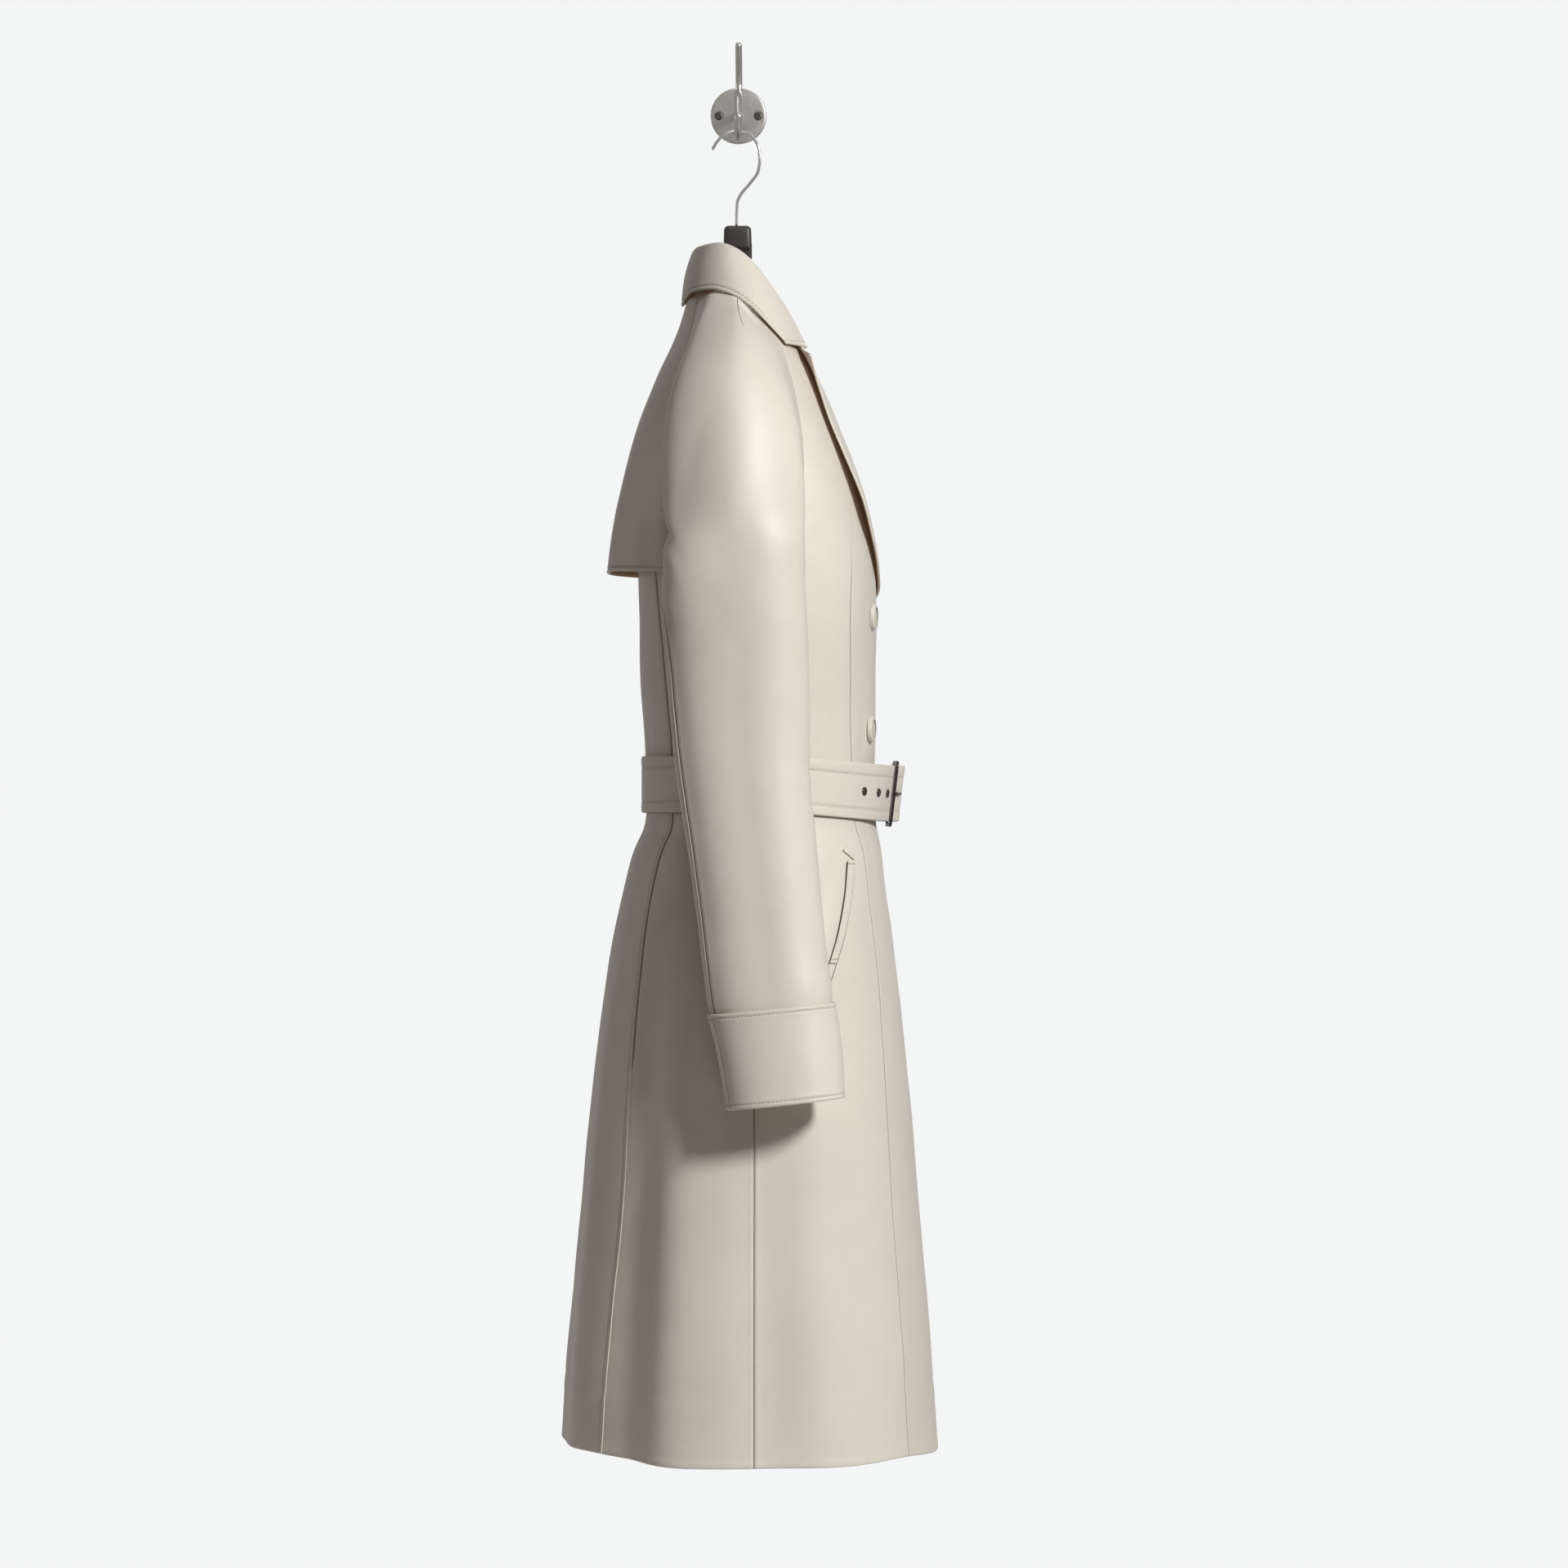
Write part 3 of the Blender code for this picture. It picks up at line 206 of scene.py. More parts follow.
def bodyNormal(t, z, side):
    t, z = np.asarray(t, float), np.asarray(z, float)
    du = bodyPoint(t + 0.004, z, side) - bodyPoint(t - 0.004, z, side)
    dz = bodyPoint(t, z + 0.5, side) - bodyPoint(t, z - 0.5, side)
    normal = np.cross(du, dz)
    normal /= np.linalg.norm(normal, axis=-1, keepdims=True)
    middle = np.stack([(bodyAt("back", z) + bodyAt("front", z)) / 2 + 0 * t, 0 * t, z + 0 * t], axis=-1)
    outward = np.sign(np.sum(normal * (bodyPoint(t, z, side) - middle), axis=-1, keepdims=True))
    return normal * outward


def outOfBody(points):                  # level direction away from the coat's middle line
    x, v, z = points[..., 0], points[..., 1], points[..., 2]
    back, front, half = bodyAt("back", z), bodyAt("front", z), bodyAt("half", z)
    a, across = (front - back) / 2, x - (front + back) / 2
    normal = np.stack([across / a**2, v / half**2, 0 * x], axis=-1)
    angle = np.arctan2(np.abs(v) / half, -across / a)           # 0 at the back, pi at the front
    return normal / np.linalg.norm(normal, axis=-1, keepdims=True), angle


# Folds: soft ridges and troughs that the hanging leather takes.

drapeBlend = 25.0               # half the width over which one side's folds give way to the other's
drapes = {                      # on the body: angle, its width, height in mm, where it starts and is full
    rightSide: ((0.22, 0.16, -3.0, -760, -1150), (0.50, 0.10, 2.2, -720, -1000),
                (0.76, 0.18, -4.0, -720, -1000), (0.91, 0.14, -8.0, -706, -1050),
                (1.18, 0.15, 6.0, -730, -1150), (1.40, 0.17, 4.0, -740, -1150),
                (1.72, 0.14, -3.0, -880, -1200), (2.02, 0.16, 2.0, -860, -1200),
                (2.62, 0.18, -2.4, -760, -1200)),
    leftSide: ((0.30, 0.15, 2.4, -780, -1200), (0.62, 0.13, -3.2, -740, -1120),
               (1.05, 0.19, 5.0, -760, -1160), (1.48, 0.17, -6.5, -780, -1150),
               (1.90, 0.20, 3.6, -840, -1230), (2.32, 0.16, -2.8, -800, -1200)),
}
waistPuckers = {                # short gathers that the belt presses in, above and below it
    "angles": (0.35, 0.8, 1.1, 1.55, 1.9, 2.25, 2.6), "width": 0.045, "height": 1.1,
    "top": -628.0, "foot": -694.0, "reach": 60.0, "middle": -660.0, "lean": 0.0006,
    "leanTurn": 1.7, "uneven": (0.6, 0.4, 2.3),         # least share of the height, what is added, its turn
}
sleeveFolds = {                 # round the sleeve: width in degrees, then angle and height at each level
    "z": (-270, -330, -400, -470, -540, -640, -740, -862),
    rightSide: (
        (15, (128, 139, 145, 147, 146, 144, 143, 143), (-3.0, -2.2, -0.8, -0.8, -1.4, -1.8, -1.6, -1.0)),
        (24, (98, 100, 106, 112, 116, 118, 120, 122), (0, 0, -0.2, -0.5, -0.6, -0.4, -0.4, -0.4)),
        (26, (66, 66, 66, 66, 66, 64, 62, 62), (0, 0.4, 0.8, 1.2, 1.6, 1.8, 1.6, 1.2)),
        (13, (92,) * 8, (0, 0, 0, 0, -0.4, -0.8, -0.8, -0.4)),
        (15, (24,) * 8, (0, 0, 0, 0, -0.8, -1.0, -0.5, 0)),
        (14, (-30,) * 8, (0, 0, 0, -1.6, -2.0, -0.6, 0, 0))),
    leftSide: (
        (17, (94, 98, 110, 122, 130, 136, 140, 145), (0, -1.8, -3.4, -4.0, -3.6, -3.0, -2.4, -1.6)),
        (10, (150, 152, 156, 160, 164, 166, 168, 168), (-0.4, -2.0, -1.8, -0.4, 0.8, 1.2, 1.0, 0.6)),
        (18, (58,) * 8, (0, 0.4, 1.2, 2.2, 2.4, 2.6, 2.0, 1.2)),
        (14, (24,) * 8, (0, 0, 0, -0.8, -2.0, -2.4, -1.2, 0)),
        (14, (-34,) * 8, (0, 0, 0, -1.8, -2.2, -0.6, 0, 0))),
}
elbowCreases = {                # short slanting creases inside the elbow: z, slant, height
    "rows": ((-640, 0.22, -1.5), (-668, -0.12, -1.1), (-612, 0.3, -1.0)),
    "width": 7.0, "angle": -8, "spread": 42, "middleV": 207,
}
hemRise = {                     # how much the hem rises at the back and at one place in front
    "from": -1100.0, "to": -1302.0, "back": 9.0, "gone": (0.5, 1.3),
    "front": 4.0, "frontAngle": 2.45, "frontWidth": 0.25,
}
pocket = {                      # the mouth's line, its welt, the slanting tab above it, the swell behind it
    "x": (105, 103, 99, 94, 87), "z": (-727, -755, -780, -803, -826),
    "welt": 6.4, "gap": 0.3, "tab": (14.0, 5.0), "slant": -42.0, "tabAt": (2.5, 6.5),
    "swellOff": -8.0, "swellWidth": 6.5, "swell": 1.8,
    "swellTop": -735.0, "swellFoot": -850.0, "swellFade": 30,
    # slit and line: the dark strips of painted shade in the mouth and along the sewn line in front of it
    "slit": 1.7, "slitHigh": 1.6, "slitFrom": 0.02, "slitEnds": (0.25, 3.0), "slitPower": 0.6,
    "lineOff": 7.6, "lineBelow": 16.0, "lineWidth": 0.7, "lineHigh": 0.2, "stops": 60, "lineMore": 7,
}
ripples = (                     # very low unevenness of hanging leather: wave vectors per mm, phase, mm
    ((0.061, 0.017, 0.021), 0.4, 0.22), ((-0.023, 0.055, 0.034), 2.1, 0.20),
    ((0.035, -0.041, 0.012), 4.0, 0.24), ((0.013, 0.027, 0.066), 1.3, 0.14),
    ((0.090, 0.066, -0.050), 5.2, 0.10), ((-0.071, 0.083, 0.098), 3.3, 0.07),
)


def rippleAt(points):
    return sum(size * np.sin(points @ np.array(wave) + phase) for wave, phase, size in ripples)


def bodyFolds(points):
    normal, angle = outOfBody(points)
    z = points[..., 2]
    height = 0 * z
    for side, rows in drapes.items():
        own = ramp(points[..., 1] * side, -drapeBlend, drapeBlend)
        for at, width, size, start, full in rows:
            height = height + own * size * ramp(-z, -start, -full) * hump(angle - at, width)
    near = (hump(z - waistPuckers["top"], waistPuckers["reach"]) * (z > waistPuckers["top"])
            + hump(z - waistPuckers["foot"], waistPuckers["reach"]) * (z < waistPuckers["foot"]))
    for k, at in enumerate(waistPuckers["angles"]):
        least, more, turn = waistPuckers["uneven"]
        uneven = least + more * math.sin(turn * k + 1)
        lean = (z - waistPuckers["middle"]) * waistPuckers["lean"] * math.cos(waistPuckers["leanTurn"] * k)
        gather = hump(angle - at - lean, waistPuckers["width"])
        height = height - uneven * waistPuckers["height"] * near * gather
    off = points[..., 0] - curve(pocket["z"], pocket["x"], z) - pocket["swellOff"]
    top, foot, fade = pocket["swellTop"], pocket["swellFoot"], pocket["swellFade"]
    span = ramp(z, foot, foot + fade) * ramp(-z, -top, fade - top)
    height = height + pocket["swell"] * hump(off, pocket["swellWidth"]) * span
    folded = points + normal * (height + rippleAt(points))[..., None]
    rise = hemRise["back"] * (1 - ramp(angle, *hemRise["gone"]))
    rise = rise + hemRise["front"] * hump(angle - hemRise["frontAngle"], hemRise["frontWidth"])
    folded[..., 2] += rise * ramp(-z, -hemRise["from"], -hemRise["to"])
    return folded


def sleeveAxis(z):
    back, front, middle, half = (curve(sleeve["z"], sleeve[n], z)
                                 for n in ("back", "front", "middle", "half"))
    return (front + back) / 2, middle, (front - back) / 2, half


def sleeveFoldAt(points, side):
    z = points[..., 2]
    centreX, centreV, halfX, halfV = sleeveAxis(z)
    across, out = points[..., 0] - centreX, points[..., 1] * side - centreV
    angle = np.degrees(np.arctan2(out / halfV, across / halfX))
    direction = np.stack([across / halfX, side * out / halfV, 0 * z], axis=-1)
    direction /= np.maximum(np.linalg.norm(direction, axis=-1, keepdims=True), 0.2)
    height = rippleAt(points)
    for width, angles, sizes in sleeveFolds[side]:
        off = (angle - curve(sleeveFolds["z"], angles, z) + 180) % 360 - 180
        height = height + curve(sleeveFolds["z"], sizes, z) * hump(off, width)
    for at, slant, size in elbowCreases["rows"]:
        line = z - at - slant * points[..., 1] * side + slant * elbowCreases["middleV"]
        inside = hump(angle - elbowCreases["angle"], elbowCreases["spread"])
        height = height + size * hump(line, elbowCreases["width"]) * inside
    return points + direction * height[..., None]


# Edges: how the surface rises and falls with the distance to an edge, and the shade painted there: darker in
# seams, stitch grooves and under edges.

edgeForms = {       # ridges: height, distance, width; then the painted shade: depth, width, groove at, depth, width
    "seam": (((-0.6, 0, 0.8), (0.2, 3.4, 2.2)), (0.8, 0.6, 0, 0, 1)),     # sewn together and pressed open
    "faint": (((-0.12, 0, 0.8), (0.04, 3.4, 2.2)), (0.12, 0.6, 0, 0, 1)),     # pressed flat: it hardly shows
    "lapped": (((-0.8, 0, 0.7), (0.55, 2.0, 1.6), (-0.45, 5.0, 0.7), (0.2, 7.5, 1.8)),
               (0.95, 0.9, 5.0, 0.22, 0.5)),        # the allowance lies under it, with a row of stitches
    "raised": (((1.1, 0, 2.6), (-0.45, 5.0, 0.7)),
               (0, 1, 5.0, 0.3, 0.5)),              # a cut edge that stands up and catches the light
    "piped": (((-0.9, 0, 0.4), (0.7, 1.2, 0.9), (-0.2, 3.2, 1.2)),
              (0.8, 0.4, 3.2, 0.1, 1.2)),           # a raised lip that catches the light
    "turned": (((-0.8, 0, 0.55), (0.55, 2.1, 1.4), (-0.55, 4.4, 0.7), (0.3, 6.6, 1.8)),
               (0.05, 0.4, 4.4, 0.42, 0.6)),        # a free edge, turned in and stitched
    "hem": (((-0.8, 0, 0.6), (0.35, 4.0, 3.5), (0.45, 56.0, 6.0), (-0.5, 64.0, 4.0)),
            (0.1, 0.5, 62.0, 0.16, 2.0)),           # turned up, so its upper edge shows faintly, as a low step with a line of painted shade
    "belt": (((-0.9, 0, 0.6), (0.35, 5.0, 4.0), (-0.6, 10.5, 0.8)), (0.15, 0.5, 10.5, 0.45, 0.7)),
    # beltFoot: the belt's form, with a painted shadow along its lower edge
    "beltFoot": (((-0.9, 0, 0.6), (0.35, 5.0, 4.0), (-0.6, 10.5, 0.8)), (0.9, 0.9, 10.5, 0.45, 0.7)),
    "tucked": (((-1.8, 0, 1.8),), (0.9, 1.4, 3.0, 0.4, 3.5)),     # goes down into a seam under its neighbour, with a painted shadow along it
    "plain": ((), (0, 1, 0, 0, 1)),
}
turnedInside = ((0.7, 1.8, 1.6), (-0.5, 0, 0.5))    # how the inner face of a turned edge or a hem swells
edgeFade = 8.0                  # half the height over which one form becomes another


def ridges(form, d):
    return sum((height * hump(d - at, width) for height, at, width in form), 0 * d)


def edgeParts(edge, z):         # one form, or a form above, a form below and the level between them
    if isinstance(edge, str):
        return ((edge, 1.0),)
    above, below, level = edge
    share = ramp(z, level - edgeFade, level + edgeFade)
    return (above, share), (below, 1 - share)


def edgeHeight(edge, d, z):
    return sum(ridges(edgeForms[form][0], d) * share for form, share in edgeParts(edge, z))


def edgeShade(edge, d, z):
    total = 0 * d
    for form, share in edgeParts(edge, z):
        depth, width, at, grooveDepth, grooveWidth = edgeForms[form][1]
        total = total + share * (depth * hump(d, width) + grooveDepth * hump(d - at, grooveWidth))
    return total


# Making the pieces.

pieces = {}


def toLinear(hexColour):
    channels = [int(hexColour[k:k + 2], 16) / 255 for k in (1, 3, 5)]
    return [c / 12.92 if c <= 0.04045 else ((c + 0.055) / 1.055) ** 2.4 for c in channels] + [1.0]


def makeObject(name, vertices, faces):
    mesh = bpy.data.meshes.new(name)
    mesh.from_pydata([tuple(p) for p in vertices], [], faces)
    mesh.update()
    mesh.shade_smooth()
    mesh.set_sharp_from_angle(angle=math.radians(60))
    obj = bpy.data.objects.new(name, mesh)
    bpy.context.scene.collection.objects.link(obj)
    return obj


def gridNormals(grid):
    normal = np.cross(np.gradient(grid, axis=1), np.gradient(grid, axis=0))
    return normal / np.maximum(np.linalg.norm(normal, axis=2, keepdims=True), 1e-9)


def paintedLapelShade(points):         # painted shade on the front, in the narrow space behind a lapel
    v, z = points[..., 1], points[..., 2]
    top, foot = lapel["rollZ"][0], lapel["edgeZ"][-1]
    fadeIn, fadeTop, fadeFoot = lapel["shadeFades"]
    cover = curve(lapel["edgeZ"], lapel["edgeV"], z) + lapel["shadeFrom"]
    span = ramp(z, foot, foot + fadeFoot) * ramp(-z, -top, fadeTop - top)
    shade = 0 * z
    for side in (rightSide, leftSide):
        own = -side * v
        shade = shade + ramp(own - cover, 0, fadeIn) * span * (own < 0)
    return lapel["shade"] * shade


def leatherWall(name, grid, distances, edges, inside, thickness=None):
    # distances and edges come in this order: first row, last row, first column, last column
    thickness = thickness or coat["leather"]
    normal = gridNormals(grid)
    flipped = np.sum(normal * (grid - inside(grid))) < 0
    if flipped:
        normal = -normal
    spread = [distances[0][:, None], distances[1][:, None], distances[2], distances[3]]
    spread = [np.broadcast_to(d, grid.shape[:2]) for d in spread]
    level = grid[..., 2]
    height = sum(edgeHeight(edge, d, level) for edge, d in zip(edges, spread))
    shade = sum(edgeShade(edge, d, level) for edge, d in zip(edges, spread))
    # painted shade behind the lapels, on the front panels
    if "front" in name:
        shade = shade + paintedLapelShade(grid)
    under = thickness + sum(ridges(turnedInside, d) for edge, d in zip(edges, spread)
                            if edge in ("turned", "hem"))
    outer = grid + normal * height[..., None]
    inner = grid - normal * (under + 0 * height)[..., None]
    rows, cols = grid.shape[:2]
    total = rows * cols
    index = np.arange(total).reshape(rows, cols)
    a, b, c, d = index[:-1, :-1], index[:-1, 1:], index[1:, 1:], index[1:, :-1]
    quads = np.stack([a, b, c, d], axis=-1).reshape(-1, 4)
    faces = [tuple(f) for f in quads] + [tuple(f[::-1] + total) for f in quads]
    rim = np.concatenate([index[0, :], index[1:, -1], index[-1, -2::-1], index[-2:0:-1, 0]])
    for p, q in zip(rim, np.roll(rim, -1)):
        faces.append((q, p, p + total, q + total))
    if flipped:
        faces = [f[::-1] for f in faces]
    obj = makeObject(name, place(np.concatenate([outer.reshape(-1, 3), inner.reshape(-1, 3)])), faces)
    half = len(quads)
    material = np.zeros(len(faces), int)
    material[half:2 * half] = 1
    obj.data.materials.append(leatherMaterial)
    obj.data.materials.append(fleshMaterial)
    obj.data.polygons.foreach_set("material_index", material)
    # painted shade: the darkening from the edges and from behind the lapels is stored in the seam attribute,
    # which darkens the leather's colour
    seam = obj.data.attributes.new("seam", "FLOAT", "POINT")
    seam.data.foreach_set("value", np.tile(np.clip(shade, 0, 1).ravel(), 2))
    pieces[name] = {"obj": obj, "outer": outer, "normal": normal, "spread": spread}


def inBody(points):             # a place inside the body, level with each point
    return points * np.array([0, 0, 1]) + np.array([body["insideX"], 0, 0])


def inSleeve(side):             # the same inside a sleeve, and below its shoulder
    def inside(points):
        z = points[..., 2]
        x = sleeve["insideX"] * (z <= sleeve["elbowZ"])
        return np.stack([x, 0 * z + side * sleeve["insideV"], np.minimum(z, sleeve["insideTop"])], axis=-1)
    return inside


# Materials.

def addNode(tree, kind, settings=None, links=None):
    node = tree.nodes.new(kind)
    for key, value in (settings or {}).items():
        if key == "stops":              # a colour ramp's places and colours
            stops = node.color_ramp.elements
            while len(stops) < len(value):
                stops.new(0.5)
            for stop, (at, colour) in zip(stops, value):
                stop.position, stop.color = at, toLinear(colour)
        elif isinstance(key, int) or key in node.inputs:
            node.inputs[key].default_value = value
        else:
            setattr(node, key, value)
    for key, source in (links or {}).items():
        tree.links.new(source, node.inputs[key])
    return node


def newMaterial(name, colour, roughness, metallic=0.0, **sockets):
    material = bpy.data.materials.new(name)
    material.use_nodes = True
    tree = material.node_tree
    shader = tree.nodes["Principled BSDF"]
    shader.inputs["Base Color"].default_value = toLinear(colour)
    shader.inputs["Roughness"].default_value = roughness
    shader.inputs["Metallic"].default_value = metallic
    for key, value in sockets.items():
        shader.inputs[key.replace("_", " ")].default_value = value
    spot = addNode(tree, "ShaderNodeTexCoord").outputs["Object"]
    return material, tree, shader, spot


leatherLook = {                 # sheepskin nappa, drum-dyed and plated: soft, fine-grained, with a low sheen
    "face": ("#D9D1C5", "#DED6CA", "#E2DACF"), "faceRoughness": (0.40, 0.50),
    "flesh": ("#A99D8E", "#B9AD9E", "#C4B9AB"), "fleshRoughness": (0.75, 0.9), "fleshGrain": 1.6,
    "paintedLight": "#A67C58", "fleshPaintedLight": 0.09,       # a painted glow on the flesh side, standing in for light that falls into its shaded undersides
    # seam: the dark brown that the painted shade in seams, grooves, under edges and behind the lapels mixes
    # towards
    "cloudMm": 140, "mottleMm": 22, "grainMm": 1.5, "poreMm": 2.6, "seam": "#5B4C40",
    "tones": (0.30, 0.52, 0.75), "cloudShare": 0.7, "mottleShare": 0.3, "cellShare": 2.2, "poreShare": 0.6,
    "bump": 0.16, "bumpDepth": 0.4 * mm,
}


def makeLeather(name, tints, rough, grain, paintedLight):
    look = leatherLook
    # paintedLight is a faint painted glow; only the flesh side gets one
    material, tree, shader, spot = newMaterial(
        name, tints[1], rough[0], Specular_IOR_Level=0.38, Coat_Weight=0.06, Coat_Roughness=0.35,
        Sheen_Weight=0.05, Sheen_Roughness=0.5, Emission_Color=toLinear(look["paintedLight"]), Emission_Strength=paintedLight)
    cloud, mottle, pores = (
        addNode(tree, "ShaderNodeTexNoise", {"Scale": 1000 / look[size], "Detail": detail}, {"Vector": spot})
        for size, detail in (("cloudMm", 3.0), ("mottleMm", 4.0), ("poreMm", 3.0)))
    clouds = addNode(tree, "ShaderNodeMapRange", {"To Max": look["cloudShare"]},
                     {"Value": cloud.outputs["Fac"]})
    mixed = addNode(tree, "ShaderNodeMath", {"operation": "MULTIPLY_ADD", 1: look["mottleShare"]},
                    {0: mottle.outputs["Fac"], 2: clouds.outputs["Result"]})
    tone = addNode(tree, "ShaderNodeValToRGB", {"stops": tuple(zip(look["tones"], tints))},
                   {"Fac": mixed.outputs["Value"]})
    # grain too fine to see at this distance, drawn a little coarse: rounded cells with fine wrinkles between
    cells = addNode(tree, "ShaderNodeTexVoronoi",
                    {"feature": "DISTANCE_TO_EDGE", "Scale": 1000 / look["grainMm"]}, {"Vector": spot})
    raised = addNode(tree, "ShaderNodeMapRange", {"To Max": look["cellShare"]},
                     {"Value": cells.outputs["Distance"]})
    height = addNode(tree, "ShaderNodeMath", {"operation": "MULTIPLY_ADD", 1: look["poreShare"]},
                     {0: pores.outputs["Fac"], 2: raised.outputs["Result"]})
    bump = addNode(tree, "ShaderNodeBump", {"Strength": look["bump"] * grain, "Distance": look["bumpDepth"]},
                   {"Height": height.outputs["Value"]})
    # painted shade: the seam attribute mixes the leather's tone towards the dark brown
    seam = addNode(tree, "ShaderNodeAttribute", {"attribute_name": "seam"})
    paintedShadeTone = addNode(tree, "ShaderNodeMixRGB", {"Color2": toLinear(look["seam"])},
                    {"Fac": seam.outputs["Fac"], "Color1": tone.outputs["Color"]})
    gloss = addNode(tree, "ShaderNodeMapRange", {"To Min": rough[0], "To Max": rough[1]},
                    {"Value": mottle.outputs["Fac"]})
    tree.links.new(paintedShadeTone.outputs["Color"], shader.inputs["Base Color"])
    tree.links.new(gloss.outputs["Result"], shader.inputs["Roughness"])
    tree.links.new(bump.outputs["Normal"], shader.inputs["Normal"])
    return material


def roughen(tree, shader, pattern, strength, roughness):
    # raises a fine texture from a pattern and varies the gloss with it
    gloss = addNode(tree, "ShaderNodeMapRange", {"To Min": roughness[0], "To Max": roughness[1]},
                    {"Value": pattern})
    bump = addNode(tree, "ShaderNodeBump", {"Strength": strength, "Distance": 0.2 * mm}, {"Height": pattern})
    tree.links.new(gloss.outputs["Result"], shader.inputs["Roughness"])
    tree.links.new(bump.outputs["Normal"], shader.inputs["Normal"])


def makeThread(name, colour, roughness):
    material, tree, shader, spot = newMaterial(name, colour, roughness, Sheen_Weight=0.2)
    twist = addNode(tree, "ShaderNodeTexWave", {"Scale": 900.0, "Distortion": 1.0}, {"Vector": spot})
    bump = addNode(tree, "ShaderNodeBump", {"Strength": 0.3, "Distance": 0.2 * mm},
                   {"Height": twist.outputs["Fac"]})
    tree.links.new(bump.outputs["Normal"], shader.inputs["Normal"])
    return material


def makeMetal(name, colour, roughness, grainMm, stretch=(1, 1, 1)):
    material, tree, shader, spot = newMaterial(name, colour, roughness, 1.0)
    scaled = addNode(tree, "ShaderNodeMapping", {"Scale": stretch}, {"Vector": spot})
    noise = addNode(tree, "ShaderNodeTexNoise", {"Scale": 1000 / grainMm, "Detail": 4.0},
                    {"Vector": scaled.outputs["Vector"]})
    roughen(tree, shader, noise.outputs["Fac"], 0.06, (roughness * 0.75, roughness * 1.3))
    return material


def makePlastic(name, colours, roughness, grainMm, strength):
    material, tree, shader, spot = newMaterial(name, colours[0], roughness)
    noise = addNode(tree, "ShaderNodeTexNoise", {"Scale": 1000 / grainMm, "Detail": 5.0, "Distortion": 0.6},
                    {"Vector": spot})
    tone = addNode(tree, "ShaderNodeValToRGB", {"stops": tuple(zip((0.35, 0.65), colours))},
                   {"Fac": noise.outputs["Fac"]})
    tree.links.new(tone.outputs["Color"], shader.inputs["Base Color"])
    roughen(tree, shader, noise.outputs["Fac"], strength, (roughness * 0.85, roughness * 1.2))
    return material


leatherMaterial = makeLeather("nappa_leather", leatherLook["face"], leatherLook["faceRoughness"], 1.0, 0.0)
fleshMaterial = makeLeather("leather_flesh_side", leatherLook["flesh"], leatherLook["fleshRoughness"],
                            leatherLook["fleshGrain"], leatherLook["fleshPaintedLight"])
# bonded polyester thread, matched to the leather and a little lighter
threadMaterial = makeThread("sewing_thread", "#E6DFD4", 0.55)
# black nickel plate on a zinc buckle: dark, with clear highlights
gunmetal = makeMetal("gunmetal_plating", "#4A4744", 0.26, 3.0)
# drawn steel wire, chrome plated: bright and smooth
chromeWire = makeMetal("chrome_wire", "#C9C9C8", 0.12, 6.0)
# nickel plate on steel that was brushed before: a soft gleam with fine streaks
satinNickel = makeMetal("satin_nickel", "#B9B6B1", 0.30, 1.2, (1, 1, 0.15))
# blackened steel screw: a dull dark grey
screwSteel = makeMetal("screw_steel", "#5C5853", 0.36, 1.0)
# cast and polished polyester button: smooth, with a faint cloud
ivoryPlastic = makePlastic("ivory_polyester", ("#D6CEC2", "#DCD4C8"), 0.3, 6.0, 0.04)
# moulded hanger plastic with a fine matt texture
hangerBlack = makePlastic("black_hanger_plastic", ("#2B2724", "#332E2A"), 0.42, 1.0, 0.12)
# painted shade: a dark copy of the leather for a punched hole, a pocket's mouth, the pocket's sewn line and
# the shoulder dart
shadedLeather = makePlastic("shaded_leather", ("#3A302A", "#463A32"), 0.8, 2.0, 0.2)
print("materials made")


# Body panels.

def measured(points, count, trim=coat["trimGap"]):
    return pointsAt(points, stopsFor(runOf(points)[-1], count, trim=trim))


def torsoRow(endsT, endsZ, count, side, inset=None):
    t, z = np.linspace(*endsT, coat["fine"]), np.linspace(*endsZ, coat["fine"])
    points = bodyPoint(t, z, side)
    if inset is not None:
        points = points - bodyNormal(t, z, side) * inset(points)[:, None]
    return measured(points, count)


def wallFromRows(name, rows, edges, inside, step=7.0, near=(1, 1), folds=bodyFolds, thickness=None):
    grid, fromFirst, fromLast = loft(rows, step, near)
    across = np.linalg.norm(np.diff(grid, axis=1), axis=2)
    fromStart = np.concatenate([np.zeros((len(grid), 1)), np.cumsum(across, axis=1)], axis=1)
    if folds is not None:
        grid = folds(grid)
    distances = (fromFirst, fromLast, fromStart, fromStart[:, -1:] - fromStart)
    leatherWall(name, grid, distances, edges, inside, thickness)


fadeLevels = {                  # where a seam's look changes on its way down
    "panel": -441.0, "side": -402, "raglan": -264.0, "flap": -272.0, "back": -924.0,
}
panelColumns = {"back": 44, "side": 22, "front": 40}        # columns of points over a panel's width


def seamLevel(z):
    return z + max(z - levels["riseFrom"], 0) * levels["rise"]


def raglan(table, share):
    return along(table, ("x", "z"), 1 - share)


def makeBackPanel():
    rows = []
    for z in levels["skirt"] + levels["back"]:
        edge = turnAtV(bodyAt("backSeam", z), z, False)
        rows.append(torsoRow((-edge, edge), (z, z), panelColumns["back"], leftSide))
    sideEdge = ("lapped", "raised", fadeLevels["back"])
    wallFromRows("leather_back", rows, ("hem", "seam", sideEdge, sideEdge), inBody)


sidePanels = {                  # the raglan seam above it, whether its outer seam is in front, its four edges
    "back": (raglanBack, False, ("hem", "seam", "seam", ("seam", "faint", fadeLevels["back"]))),
    "front": (raglanFront, True, ("hem", "faint", ("faint", "seam", fadeLevels["side"]),
                                  ("faint", "seam", fadeLevels["panel"]))),
}


